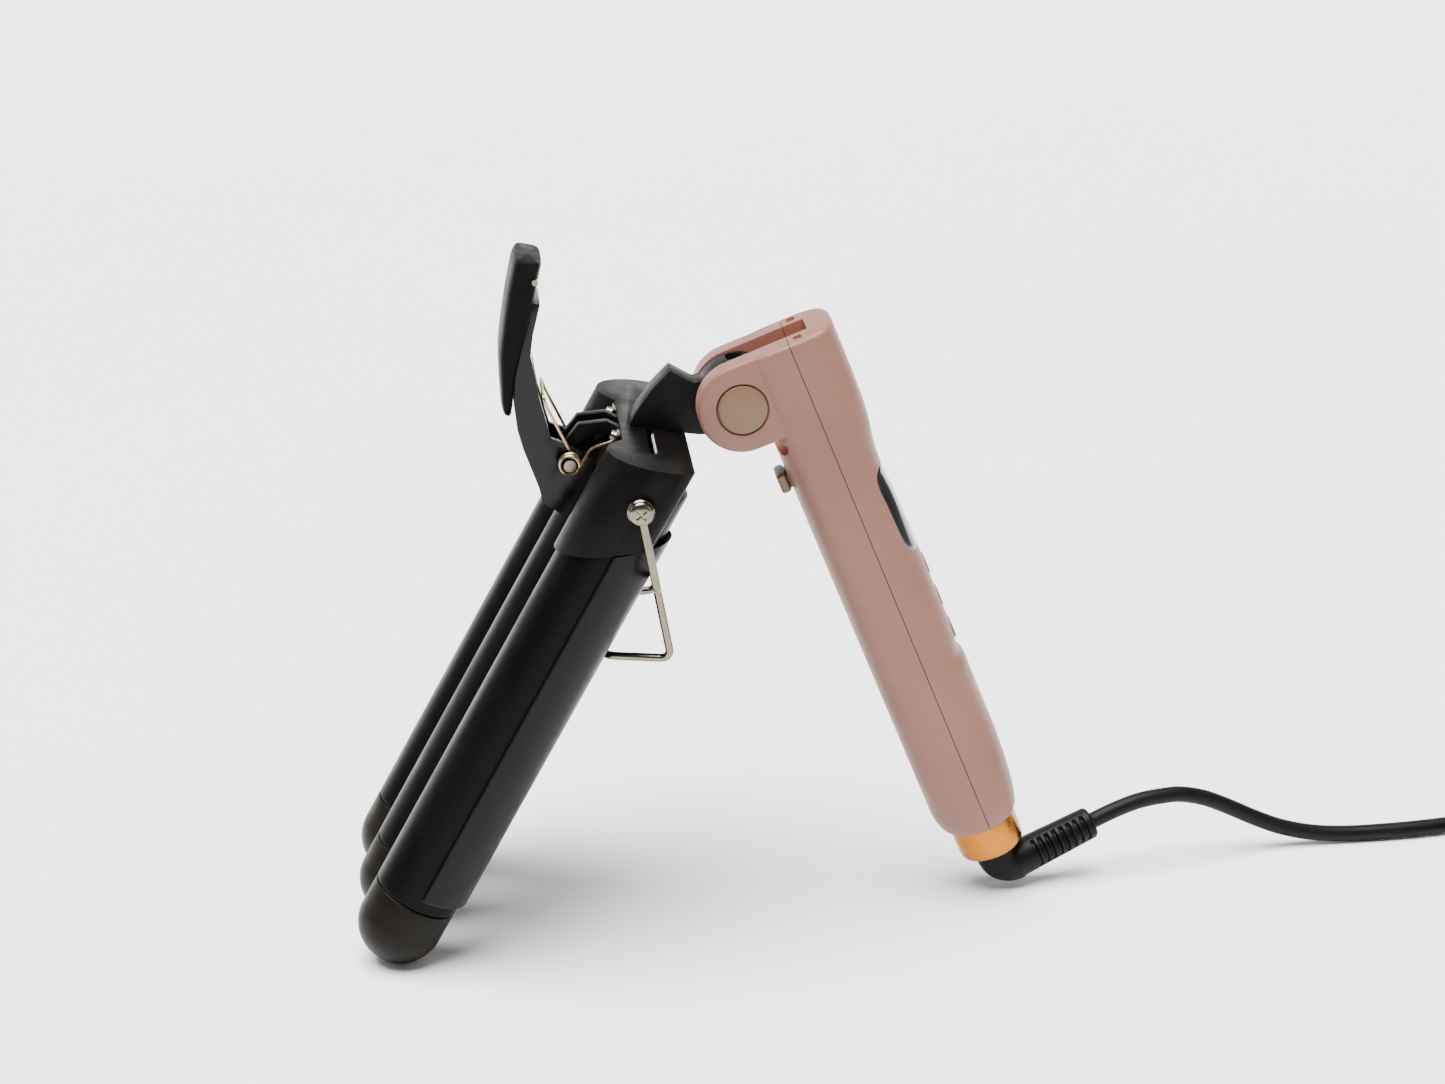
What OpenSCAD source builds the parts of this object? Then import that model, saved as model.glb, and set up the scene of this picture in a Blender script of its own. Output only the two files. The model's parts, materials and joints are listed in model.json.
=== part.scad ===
// Foldable triple-barrel hair waver, standing open like a tent.
// The three barrels lean down to the left, the handle leans down to the right,
// and both hang from one fold hinge at the top. Millimetres, +Z up, +Y to the back.

/* [Barrels] */
// Diameter of each heated barrel
barrel_d = 25; // [22:0.5:27]
// Distance between neighbouring barrel axes
barrel_pitch = 29; // [28.5:0.5:34]
// Wall of a barrel tube
barrel_wall = 1.2; // [0.8:0.1:2]
// Straight part of the cool tip, above its dome
tip_straight = 9.5; // [6:0.5:20]
// Angle between the barrels and the handle while the iron stands open
open_angle = 50.555; // [44:0.001:60]
// Distance from the tip dome's centre up to the fold axis, along the barrels
fold_reach = 177.5; // [165:0.5:230]
// Distance of the fold axis below the barrel axes
fold_drop = 18.5; // [18:0.5:22]

/* [Barrel housing] */
// Radial wall of the collars around the barrels
collar_wall = 1.2; // [1:0.1:1.6]
// Distance from the fold axis down to the collars' lower end, on the lever side
collar_drop = 55; // [48:0.5:60]
// Distance from the fold axis down to the collars' upper end, on the lever side
collar_top_drop = 23; // [21:0.5:27]
// Depth of the housing's flat underside below the barrel axes
housing_floor = 9; // [8:0.5:11]
// Gap between the housing's bridge and the middle barrel's end
bridge_gap = 2.5; // [2:0.5:5]
// Outer radius of the heat guards around the outer barrels
guard_wall = 1.1; // [0.8:0.1:1.6]
// Air gap between a barrel and its heat guard
guard_gap = 0.5; // [0.4:0.1:0.6]

/* [Fold hinge] */
// Radius of the hinge drum on the neck
drum_r = 12.5; // [11:0.5:13]
// Width of the neck and drum
drum_w = 8.6; // [7:0.2:9]
// Width of the fork slot in the handle's head
slot_w = 10.2; // [9.8:0.2:11]
// Radius of the fold pin
pin_r = 3; // [2.5:0.25:4]
// Radial running clearance between the pin and the drum
pin_play = 0.05; // [0.02:0.01:0.1]

/* [Handle] */
// Distance from the fold axis to the grip's inner face
grip_in = 4.3; // [4:0.1:6]
// Thickness of the grip, seen from the side
grip_t = 27.1; // [24:0.1:32]
// Depth of the grip, front to back
grip_w = 27; // [24:0.5:32]
// Distance from the fold axis to the grip's lower end
grip_len = 152; // [135:1:190]
// Wall of the two handle shells
shell_wall = 2.2; // [1.6:0.1:2.8]
// Radius of the fork ears and height of the flat head above the fold axis
ear_r = 12.8; // [12:0.1:13.6]
// Distance from the fold axis to the parting line of the shells
parting = 19; // [17:0.5:21]
// Height of the collar ring at the grip's end
ring_h = 11; // [8:0.5:16]

/* [Display and buttons] */
// Distance from the fold axis to the upper end of the display window
display_s = 33; // [30:0.5:40]
// Length of the display window
display_len = 28; // [22:0.5:30]
// Width of the display window
display_w = 15; // [10:0.5:17]
// Spacing of the three buttons
button_pitch = 11; // [9.5:0.5:12]
// Radius of a button
button_r = 3.4; // [2.5:0.1:4]

/* [Lever] */
// Distance from the fold axis down to the lever pin, along the barrels
lever_drop = 36.5; // [34:0.5:40]
// Height of the lever pin above the barrel axes
lever_rise = 17.5; // [17:0.5:20]
// Radius of the lever pin
lever_pin_r = 1.75; // [1.5:0.25:2]
// Width of the lever's arm
arm_w = 17; // [15:0.5:18]
// Width of the thumb pad
pad_w = 22; // [19:0.5:26]

/* [Wire stand] */
// Diameter of the stand's wire
wire_d = 2.4; // [2:0.1:3]
// Length of the stand's legs, from its screws to the bend of the foot
leg_len = 51; // [44:0.5:56]
// Distance from a screw to the leg's inward jog
jog_len = 24; // [20:0.5:28]
// Half the distance between the lower legs
leg_half = 27.5; // [24:0.5:30]
// Angle of the hanging legs to the barrels
stand_open = 39; // [32:1:49]
// Length of the foot
foot_len = 18.5; // [14:0.5:20]

/* [Cord] */
// Diameter of the cord
cord_d = 5; // [4:0.25:6]
// Radius of the elbow's body
elbow_r = 6.2; // [5.5:0.1:7]
// Reach of the elbow's sleeve from the swivel axis
sleeve_len = 31; // [24:0.5:31]
// Turn of the elbow about the swivel axis, towards the back
elbow_turn = 10; // [0:1:10]

/* [Hidden] */
$fn = 48;
eps = 0.01;
gap = 0.3;
barrel_r = barrel_d / 2;
collar_r = barrel_r + collar_wall;
guard_r = barrel_r + guard_gap + guard_wall;
side_y = barrel_pitch + collar_r;
swivel_t = grip_in + grip_t / 2;
stub_drop = 8.1;
elbow_s = grip_len + ring_h + stub_drop;

// The two legs share the opening angle so that the three tips and the cord elbow
// touch one level surface: lean_a cos(lean) + lean_b sin(lean) = elbow_r - barrel_r.
swing_r = norm([elbow_s, swivel_t]);
swing_a = open_angle + atan2(swivel_t, elbow_s);
lean_a = fold_reach - swing_r * cos(swing_a);
lean_b = -fold_drop - swing_r * sin(swing_a);
barrel_lean = atan2(lean_b, lean_a) + acos((elbow_r - barrel_r) / norm([lean_a, lean_b]));
handle_lean = open_angle - barrel_lean;
pivot_z = barrel_r + fold_reach * cos(barrel_lean) - fold_drop * sin(barrel_lean);

sleeve_end_r = 3.5;
// The sleeve's end is blunt: its radius there, and the depth of the slots cut into it
sleeve_blunt_r = 4.9;
slot_depth = 0.9;
tip_to_pivot = fold_reach * sin(barrel_lean) + fold_drop * cos(barrel_lean);
sleeve_dir = [cos(elbow_turn) * cos(handle_lean), sin(elbow_turn), cos(elbow_turn) * sin(handle_lean)];
sleeve_end_x = tip_to_pivot + swivel_t * cos(handle_lean) + elbow_s * sin(handle_lean)
    + sleeve_len * sleeve_dir[0] + sleeve_end_r * sqrt(1 - pow(sleeve_dir[0], 2));
tip_x = -(sleeve_end_x - barrel_r) / 2;
pivot_x = tip_x + tip_to_pivot;

// Places along the barrels, from the tip dome's centre
collar_low = fold_reach - collar_drop;
collar_slant = 15;
collar_high = fold_reach - collar_top_drop;
top_slant = 7.5;
lever_s = fold_reach - lever_drop;
middle_end = collar_high - 5;
bridge_s = middle_end + bridge_gap;
housing_end = collar_high + top_slant;
barrel_end = collar_high - 1.2;
guard_low = 14;
guard_high = collar_low + 8;
stand_s = fold_reach - 31;
stand_screw_r = 1.5;

// Places along the handle, from the fold axis
head_depth = 33;
head_solid = 21;
slot_t = 25.4;
bolt_t = 7;
bolt_tip = 11.8;
knob_s = 28;
bolt_travel = 3.5;
display_t = grip_in + grip_t - 0.9;
button_s = display_s + display_len + 8;
cap_r = 7.1;
cap_seat = 2.2;
press_travel = 0.6;
screw_places = [[16, 8.6], [16, -8.6], [grip_len - 26, 0]];

spindle_r = 4;
contact_r = spindle_r + 0.9;
contact_s = grip_len - 9;
contact_pitch = 4;
contact_w = 2.4;
bush_r = 8;
ring_r = 10.2;

// The cord's points were chosen for a 5 mm cord and an elbow whose tip is at this place;
// they move along with the tip, and rise with a thicker cord
chosen_tip = [110.593, 17.416];
chosen_d = 5;
elbow_tip_x = tip_x + sleeve_end_x - sleeve_end_r * sqrt(1 - pow(sleeve_dir[0], 2));
elbow_tip_z = elbow_r + sleeve_len * sleeve_dir[2];
cord_shift = elbow_tip_x - chosen_tip[0];
cord_rise = (cord_d - chosen_d) / 2;
coil_x = 263 + cord_shift;
coil_y = -12;
coil_rows = 3;
coil_columns = 4;
coil_lift = 0.8;
coil_w = coil_columns * (cord_d + 0.1);
coil_r = 40.7 - cord_d / 2 - coil_w / 2;
coil_h = coil_rows * (cord_d + 0.1);
plug_x = coil_x + 22;
plug_y = -3.5;
plug_half = 6.8;
plug_z = coil_lift + coil_h + plug_half + 0.1;
plug_relief = 20;
plug_len = 18;
plug_pin_r = 2;
plug_pin_len = 19;
plug_pin_pitch = 19;

// Route of the free cord from the elbow to the coil, on its centre line
cord_route = [[111, 5.5, 17.6], [117, 6.6, 19.9], [126, 8.5, 22.2], [136, 10.8, 22.6],
    [146, 13, 20.4], [155, 15, 16], [164, 16.6, 11], [173, 17.7, 6.8], [183, 18.4, 4],
    [194, 18.8, 2.8], [206, 19.2, 2.7], [219, 20.2, 2.8], [232, 22.3, 2.9], [244.5, 25.4, 3.1],
    [256, 28.3, 3.3]];
// Route of its last stretch, from the top of the coil into the plug
tail_route = [[243.4, 11.4, 18.8], [251, 16.4, 18.9], [258, 18.4, 19.1], [265, 18.4, 19.6],
    [272, 16.2, 20.5], [278, 12.2, 21.5], [282.4, 7, 22.4], [284.6, 1.6, 22.9], [285, -3.3, 23]];

run_points = [for (i = [0 : len(cord_route) - 1])
    cord_route[i] + [cord_shift, 0, cord_rise + (elbow_tip_z - chosen_tip[1]) * max(0, 1 - i / 6)]];
tail_points = [for (p = tail_route) p + [cord_shift, 0, cord_rise + coil_h - coil_rows * (chosen_d + 0.1)]];

// ---------- frames ----------

// Barrel frame: Z runs up the barrels from the middle tip, X towards their underside
module at_barrels() {
    translate([tip_x, 0, barrel_r])
        rotate([0, barrel_lean, 0])
            children();
}

// Handle frame: Z runs up the handle to the fold axis, X towards its outer face
module at_handle() {
    translate([pivot_x, 0, pivot_z])
        rotate([0, -handle_lean, 0])
            children();
}

// Stand frame: origin between the stand's screws, -Z down the hanging legs, X away from the barrels
module at_stand() {
    translate([0, 0, stand_s])
        rotate([0, -stand_open, 0])
            children();
}

// Elbow frame: on the swivel axis at the bend, X out along the sleeve
module at_elbow() {
    translate([swivel_t, 0, -elbow_s])
        rotate([0, 0, elbow_turn])
            children();
}

// ---------- shared shapes ----------

module along_y(r, y0, y1) {
    translate([0, y0, 0])
        rotate([-90, 0, 0])
            cylinder(r = r, h = y1 - y0);
}

module tube(r_out, r_in, h) {
    difference() {
        cylinder(r = r_out, h = h);
        translate([0, 0, -1])
            cylinder(r = r_in, h = h + 2);
    }
}

module rounded_rect(w, h, r) {
    square([w - 2 * r, h], center = true);
    square([w, h - 2 * r], center = true);
    for (x = [-1, 1], y = [-1, 1])
        translate([x * (w / 2 - r), y * (h / 2 - r)])
            circle(r = r);
}

// Outline in the X-Z plane carried along Y, centred
module side_plate(w) {
    translate([0, w / 2, 0])
        rotate([90, 0, 0])
            linear_extrude(height = w)
                children();
}

function unit(v) = v / norm(v);
function tangent(p, i) = unit(p[min(i + 1, len(p) - 1)] - p[max(i - 1, 0)]);
function across(t) = unit(cross(t, abs(t[2]) < 0.9 ? [0, 0, 1] : [1, 0, 0]));
function carried(n, t) = unit(n - (n * t) * t);
function normals(p, i = 0, list = []) = i == len(p) ? list
    : normals(p, i + 1, concat(list, [i == 0 ? across(tangent(p, 0)) : carried(list[i - 1], tangent(p, i))]));

// Round wire of radius r along the points p
module wire(p, r, sides = 8) {
    n = normals(p);
    rings = [for (i = [0 : len(p) - 1], j = [0 : sides - 1])
        let (a = 360 * j / sides, b = cross(tangent(p, i), n[i]))
        p[i] + r * (cos(a) * n[i] + sin(a) * b)];
    walls = [for (i = [0 : len(p) - 2], j = [0 : sides - 1])
        let (k = (j + 1) % sides)
        [i * sides + j, (i + 1) * sides + j, (i + 1) * sides + k, i * sides + k]];
    caps = [[for (j = [0 : sides - 1]) j], [for (j = [sides - 1 : -1 : 0]) (len(p) - 1) * sides + j]];
    polyhedron(points = rings, faces = concat(walls, caps), convexity = 6);
}

// Corner points p with every inner corner rounded over the length r
function rounded(p, r, steps = 4) = concat([p[0]], [for (i = [1 : len(p) - 2])
    let (a = p[i] + unit(p[i - 1] - p[i]) * r, c = p[i] + unit(p[i + 1] - p[i]) * r)
    for (k = [0 : steps])
        let (u = k / steps)
        (1 - u) * (1 - u) * a + 2 * u * (1 - u) * p[i] + u * u * c], [p[len(p) - 1]]);

// Points of a coil about the Y axis through [x, z], from angle a0 over the given turns
function coil_points(x, z, r, y0, y1, a0, turns, steps = 10) = [for (k = [0 : turns * steps])
    let (a = a0 + 360 * k / steps, u = k / (turns * steps))
    [x + r * cos(a), y0 + (y1 - y0) * u, z + r * sin(a)]];

// ---------- handle ----------

// Distance of the grip's outer face from the fold axis, listed down the handle
grip_out = grip_in + grip_t;
outer_line = [[-ear_r, head_depth - 1.5], [-ear_r + 2, head_depth], [12, head_depth - 0.2],
    [20, head_depth - 0.8], [27, grip_out - 0.5], [34, grip_out - 0.7], [44, grip_out],
    [90, grip_out], [95, grip_out - 0.6], [99, grip_out + 0.6], [grip_len - 30, grip_out + 0.6],
    [grip_len - 10, grip_out - 0.6], [grip_len - 3, grip_out - 1.6], [grip_len, grip_out - 3.2]];
inner_line = [[grip_len, grip_in + 3], [grip_len - 3, grip_in + 1], [grip_len - 8, grip_in],
    [-ear_r, grip_in]];

module grip_blank(inset = 0) {
    outline = concat([for (p = outer_line) [p[1] - inset, -p[0]]],
        [for (p = inner_line) [p[1] + inset, -p[0]]]);
    middle = (grip_in + head_depth) / 2;
    intersection() {
        side_plate(grip_w - 2 * inset)
            polygon(outline);
        translate([middle, 0, -grip_len])
            linear_extrude(height = grip_len + ear_r)
                rounded_rect(head_depth - grip_in - 2 * inset, grip_w - 2 * inset, 10 - inset);
    }
}

module ears() {
    ear_face = grip_w / 2 - 0.6;
    along_y(ear_r, -ear_face, ear_face);
    translate([0, -ear_face, -ear_r])
        cube([parting, 2 * ear_face, 2 * ear_r]);
}

// Space for the drum and for the neck as it swings round into line
module fork_slot() {
    along_y(drum_r + 0.7, -slot_w / 2, slot_w / 2);
    translate([-ear_r - 1, -slot_w / 2, -0.6])
        cube([slot_t + ear_r + 1, slot_w, ear_r + 2]);
    translate([-ear_r - 1, -slot_w / 2, -ear_r - 1])
        cube([ear_r + 1, slot_w, 2 * ear_r]);
}

module shell_bosses() {
    last = screw_places[2];
    translate([grip_in + 1, last[1], -last[0]])
        rotate([0, 90, 0])
            cylinder(r = 4, h = grip_t - 3);
}

// Room inside the two shells, below the solid head
module grip_room() {
    floor_s = grip_len - shell_wall - 1.5;
    difference() {
        intersection() {
            grip_blank(shell_wall);
            translate([0, -grip_w, -floor_s])
                cube([head_depth + 5, 2 * grip_w, floor_s - head_solid]);
        }
        shell_bosses();
    }
}

module screw_holes(play = 0) {
    for (p = screw_places)
        translate([0, p[1], -p[0]])
            rotate([0, 90, 0]) {
                cylinder(r = 1.5 + play, h = parting + 6);
                cylinder(r = 2.6 + play, h = 12);
            }
}

// Cuts that both shells share
module shared_cuts() {
    ear_face = grip_w / 2 - 0.6;
    fork_slot();
    along_y(pin_r, -grip_w, grip_w);
    for (s = [-1, 1])
        translate([0, s * (ear_face - cap_seat / 2), 0])
            along_y(cap_r + 0.3, -cap_seat / 2 - (s < 0 ? 1 : 0), cap_seat / 2 + (s > 0 ? 1 : 0));
    screw_holes();
    translate([swivel_t, 0, -grip_len - 1])
        cylinder(r = bush_r, h = 12);
    lock_channel();
    lead_channel();
}

// Channel for the lock bolt, and the window for its knob
module lock_channel() {
    translate([bolt_t - 1.9, -2.8, -head_solid - 4])
        cube([3.8, 5.6, head_solid]);
    translate([bolt_t - 1.9, -5.3, -knob_s - 17])
        cube([3.8, 10.6, 25]);
    translate([grip_in - 2, -3.3, -knob_s - 3.2 - bolt_travel])
        cube([8, 6.6, 6.4 + bolt_travel]);
}

module lead_channel() {
    translate([15.6, 0, -head_solid - 2])
        cylinder(r = 2.2, h = head_solid + 1);
}

module handle_inner_shell() {
    color([0.80, 0.69, 0.68])
        at_handle()
            difference() {
                union() {
                    grip_blank();
                    ears();
                }
                grip_room();
                shared_cuts();
                translate([parting, -grip_w, -grip_len - 1])
                    cube([30, 2 * grip_w, grip_len + 2 * ear_r]);
            }
}

module handle_outer_shell() {
    color([0.80, 0.69, 0.68])
        at_handle()
            difference() {
                grip_blank();
                grip_room();
                shared_cuts();
                translate([parting - 40, -grip_w, -grip_len - 1])
                    cube([40, 2 * grip_w, grip_len + 2 * ear_r]);
                translate([display_t, 0, -display_s - display_len / 2])
                    rotate([0, 90, 0])
                        linear_extrude(height = 6)
                            rounded_rect(display_len, display_w, 2.5);
                translate([display_t - 4, 0, -display_s - display_len / 2])
                    rotate([0, 90, 0])
                        linear_extrude(height = 6)
                            rounded_rect(display_len - 3, display_w - 3, 1.5);
                for (k = [0 : 2])
                    translate([grip_out - 6, 0, -button_s - k * button_pitch])
                        rotate([0, 90, 0])
                            cylinder(r = button_r + gap, h = 10);
            }
}

module shell_screws() {
    color([0.45, 0.44, 0.44])
        at_handle()
            for (p = screw_places)
                translate([0, p[1], -p[0]])
                    rotate([0, 90, 0])
                        difference() {
                            union() {
                                translate([0, 0, 10])
                                    cylinder(r = 2.5, h = 2);
                                translate([0, 0, 11])
                                    cylinder(r = 1.5, h = parting - 6);
                            }
                            for (a = [0, 90])
                                rotate([0, 0, a])
                                    translate([-1.4, -0.3, 9])
                                        cube([2.8, 0.6, 2]);
                        }
}

module fold_pin() {
    color([0.7, 0.7, 0.72])
        at_handle()
            along_y(pin_r, -grip_w / 2 + 0.6 + cap_seat, grip_w / 2 - 0.6 - cap_seat);
}

module pin_caps() {
    seat = grip_w / 2 - 0.6 - cap_seat;
    color([0.76, 0.68, 0.62])
        at_handle()
            for (s = [-1, 1])
                rotate([s * -90, 0, 0]) {
                    translate([0, 0, seat])
                        cylinder(r = cap_r, h = cap_seat - 0.3);
                    translate([0, 0, seat + cap_seat - 0.3])
                        cylinder(r1 = cap_r, r2 = cap_r - 0.6, h = 0.7);
                }
}

module friction_washers() {
    color([0.75, 0.75, 0.76])
        at_handle()
            for (s = [-1, 1])
                rotate([s * -90, 0, 0])
                    translate([0, 0, slot_w / 2 - 0.4])
                        tube(8, pin_r, 0.4);
}

module display_window() {
    color([0.06, 0.06, 0.07])
        at_handle()
            translate([display_t, 0, -display_s - display_len / 2])
                rotate([0, 90, 0])
                    linear_extrude(height = 1.3)
                        rounded_rect(display_len, display_w, 2.5);
}

module display_board() {
    board_t = display_t - 4.6;
    color([0.1, 0.3, 0.16])
        at_handle() {
            translate([board_t - 1.2, -7, -button_s - 2 * button_pitch - 5])
                cube([1.2, 14, button_s + 2 * button_pitch + 5 - display_s]);
            translate([board_t, -5.5, -display_s - display_len + 2])
                cube([2.6, 11, display_len - 4]);
            for (k = [0 : 2])
                translate([board_t, -2, -button_s - k * button_pitch - 2])
                    cube([grip_out - 4 - board_t - press_travel - 0.05, 4, 4]);
        }
}

module control_board() {
    board_s = 108;
    color([0.12, 0.34, 0.18])
        at_handle() {
            translate([parting - 6, -8.5, -board_s])
                cube([1.6, 17, 70]);
            translate([parting - 4.4, -4, -board_s + 10])
                cube([4, 8, 12]);
            translate([parting - 4.4, 0, -board_s + 40])
                rotate([0, 90, 0])
                    cylinder(r = 4, h = 4);
            translate([parting - 4.4, -6, -board_s + 56])
                cube([2.5, 5, 8]);
        }
}

module handle_leads() {
    color([0.85, 0.85, 0.82])
        at_handle()
            for (y = [-1.1, 1.1]) {
                // each lead passes its own side of the last screw's boss to its contact
                away = swivel_t - (y > 0 ? 1 : -1) * (contact_r + 1.95);
                wire([[15.6, y, -8], [15.6, y, -24], [14, y, -29], [11.8, y, -35], [11.8, y, -60],
                    [11.8, y * 2, -grip_len + 44], [away, y * 5.2, -grip_len + 32],
                    [away, y * 5.2, -grip_len + 22], [away, y * 2, -grip_len + 17]], 0.9, 8);
            }
}

module end_ring() {
    color([0.80, 0.58, 0.30])
        at_handle()
            translate([swivel_t, 0, -grip_len - ring_h])
                difference() {
                    union() {
                        cylinder(r1 = ring_r - 0.9, r2 = ring_r - 0.3, h = 1);
                        translate([0, 0, 1])
                            cylinder(r1 = ring_r - 0.3, r2 = ring_r, h = ring_h - 1);
                    }
                    translate([0, 0, -1])
                        cylinder(r = bush_r, h = ring_h + 2);
                }
}

module swivel_bush() {
    color([0.2, 0.2, 0.2])
        at_handle()
            translate([swivel_t, 0, -grip_len - ring_h]) {
                tube(bush_r, spindle_r + pin_play, ring_h + shell_wall + 3.5);
                translate([0, 0, ring_h + shell_wall + 1.5])
                    tube(bush_r + 0.8, spindle_r + pin_play, 2);
            }
}

module brush_contacts() {
    color("goldenrod")
        at_handle()
            for (k = [0, 1])
                translate([swivel_t, 0, -contact_s + k * contact_pitch])
                    rotate([0, 0, k * 180]) {
                        translate([contact_r + 0.5, -2, 0])
                            cube([0.5, 4, 11 - 2 * k]);
                        translate([contact_r + 0.1, -2, 0])
                            cube([0.5, 4, contact_w]);
                    }
}

module lock_spring() {
    color("silver")
        at_handle()
            wire([for (k = [0 : 56])
                [bolt_t + 1.4 * cos(k * 45), 1.4 * sin(k * 45), -knob_s - 8.5 - k * 0.13]], 0.25, 6);
}

// ---------- free cord ----------

module cord_run() {
    color([0.07, 0.07, 0.07]) {
        wire(run_points, cord_d / 2, 10);
        wire(tail_points, cord_d / 2, 10);
    }
}

module cord_coil() {
    color([0.07, 0.07, 0.07])
        translate([coil_x, coil_y, coil_lift])
            tube(coil_r + coil_w / 2, coil_r - coil_w / 2, coil_h);
}

module cord_tie() {
    tie_w = 6;
    color([0.15, 0.15, 0.15])
        translate([coil_x, coil_y - coil_r, 0])
            difference() {
                translate([-tie_w / 2, -coil_w / 2 - coil_lift, 0])
                    cube([tie_w, coil_w + 2 * coil_lift, coil_h + 2 * coil_lift]);
                translate([0, coil_r, coil_lift])
                    tube(coil_r + coil_w / 2, coil_r - coil_w / 2, coil_h);
            }
}

module plug_body() {
    color([0.07, 0.07, 0.07])
        translate([plug_x, plug_y, plug_z])
            rotate([90, 0, 0]) {
                cylinder(r1 = 3.4, r2 = 5.2, h = plug_relief);
                translate([0, 0, plug_relief])
                    linear_extrude(height = plug_len)
                        rounded_rect(34, 2 * plug_half, 6);
            }
}

module plug_pins() {
    color("silver")
        for (s = [-1, 1])
            translate([plug_x + s * plug_pin_pitch / 2, plug_y - plug_relief - plug_len, plug_z])
                rotate([90, 0, 0])
                    cylinder(r = plug_pin_r, h = plug_pin_len);
}

// ---------- barrel frame ----------

// Cross-section of the two outer collars: round above, square-shouldered below
module collar_section(r, floor_x) {
    for (s = [-1, 1])
        translate([0, s * barrel_pitch]) {
            intersection() {
                circle(r = r);
                translate([-r, -r])
                    square([r + floor_x, 2 * r]);
            }
            translate([0, s > 0 ? 0 : -r])
                square([floor_x - 4, r]);
            translate([0, s > 0 ? 0 : -(r - 4)])
                square([floor_x, r - 4]);
            translate([floor_x - 4, s * (r - 4)])
                circle(r = 4);
        }
}

// Side outline of the housing, in the barrel frame's X-Z plane
module housing_side(x0 = -40, x1 = 40) {
    low_slope = collar_slant / (collar_r + housing_floor);
    top_slope = top_slant / (collar_r + housing_floor);
    polygon([[x0, collar_low + low_slope * (x0 + collar_r)],
        [x1, collar_low + low_slope * (x1 + collar_r)],
        [x1, collar_high + top_slope * (x1 + collar_r)],
        [x0, collar_high + top_slope * (x0 + collar_r)]]);
}

module lever_lugs(r, y0, y1) {
    for (s = [-1, 1])
        translate([-lever_rise, 0, lever_s])
            along_y(r, s > 0 ? y0 : -y1, s > 0 ? y1 : -y0);
}

// Two ears reach from the bridge into the horn's channel and hold the lever pin
horn_wall = 2;
lug_out = arm_w / 2 - horn_wall - 0.6;
lug_in = lug_out - 3;
lug_r = 3.7;
lever_pin_half = arm_w / 2 + 5;

module lug_side() {
    polygon([[-lever_rise - lug_r, lever_s], [-lever_rise - lug_r + 1.5, bridge_s - 1],
        [-13, bridge_s + 3.5], [-8.5, bridge_s + 3.5], [-8.5, bridge_s + 0.4],
        [-collar_r - 0.9, bridge_s - 1.6], [-collar_r - 0.9, lever_s]]);
}

module barrel_housing() {
    inner_y = barrel_pitch;
    color([0.10, 0.10, 0.10])
        at_barrels()
            difference() {
                union() {
                    intersection() {
                        side_plate(2 * side_y + 10)
                            housing_side();
                        translate([0, 0, collar_low - 20])
                            linear_extrude(height = 90)
                                collar_section(collar_r, housing_floor);
                    }
                    // bridge behind the middle barrel
                    intersection() {
                        side_plate(2 * inner_y)
                            housing_side();
                        translate([-9, -inner_y, bridge_s])
                            cube([9 + housing_floor, 2 * inner_y, 30]);
                    }
                    // lugs that hold the lever pin
                    lever_lugs(lug_r, lug_in, lug_out);
                    for (s = [-1, 1])
                        translate([0, s * (lug_in + lug_out) / 2, 0])
                            side_plate(lug_out - lug_in)
                                lug_side();
                }
                for (s = [-1, 1])
                    translate([0, s * barrel_pitch, 0])
                        cylinder(r = barrel_r, h = barrel_end);
                lever_lugs(lever_pin_r, lug_in - 5, lug_out + 5);
                // sweep of the middle barrel's collar
                cylinder(r = collar_r + 0.6, h = middle_end + 1);
                // wiring room, closed by the cover
                translate([-2, -barrel_pitch + 2, barrel_end - eps])
                    cube([6.2, 2 * barrel_pitch - 4, bridge_s + 7 - barrel_end]);
                translate([-2, -cover_screw_y + 3, bridge_s + 2])
                    cube([housing_floor + 3, 2 * cover_screw_y - 6, 5]);
                // seats of the stand screws
                for (s = [-1, 1])
                    translate([0, 0, stand_s])
                        along_y(stand_screw_r, s > 0 ? barrel_pitch : -side_y - 2,
                            s > 0 ? side_y + 2 : -barrel_pitch);
                // the neck's foot is let into the bridge
                neck_foot(0);
                // recess for the cover
                cover_plate();
                cover_screw_cuts();
            }
}

module neck_foot(play) {
    translate([-6 - play, -drum_w / 2 - play, bridge_s + 3])
        cube([12 + 2 * play, drum_w + 2 * play, 12]);
}

// Outline of the neck's plate, in the barrel frame's X-Z plane
module neck_side() {
    polygon([[-6, bridge_s + 3], [-6.6, housing_end - 1], [-5.6, fold_reach - 8],
        [-3.6, fold_reach - 1], [4, fold_reach - 1.2], [8, fold_reach + 2],
        [fold_drop, fold_reach + 2], [fold_drop, fold_reach - 10.6],
        [13, fold_reach - 13.8], [9.4, housing_end + 0.3], [6, housing_end - 1],
        [6, bridge_s + 3]]);
}

// Notches in the drum's rim for the lock bolt, one straight and one folded
module drum_notches() {
    translate([fold_drop, 0, fold_reach])
        for (turn = [0, 180])
            rotate([0, turn, 0])
                translate([bolt_t - 2, -3, -bolt_tip - 3])
                    cube([4, 6, 6.8]);
}

module hinge_neck() {
    color([0.16, 0.16, 0.16])
        at_barrels()
            difference() {
                union() {
                    side_plate(drum_w)
                        neck_side();
                    translate([fold_drop, 0, fold_reach])
                        along_y(drum_r, -drum_w / 2, drum_w / 2);
                }
                // rounded inner corner between the plate and the drum
                translate([2, 0, fold_reach + 3.4])
                    along_y(4.2, -drum_w, drum_w);
                translate([fold_drop, 0, fold_reach])
                    along_y(pin_r + pin_play, -drum_w, drum_w);
                drum_notches();
                // channel for the heater leads, and the slot they leave by
                translate([1, 0, bridge_s])
                    cylinder(r = 1.8, h = fold_reach - bridge_s - 6);
                translate([-0.6, -drum_w, bridge_s])
                    cube([4.2, 2 * drum_w, 7]);
            }
}

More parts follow.
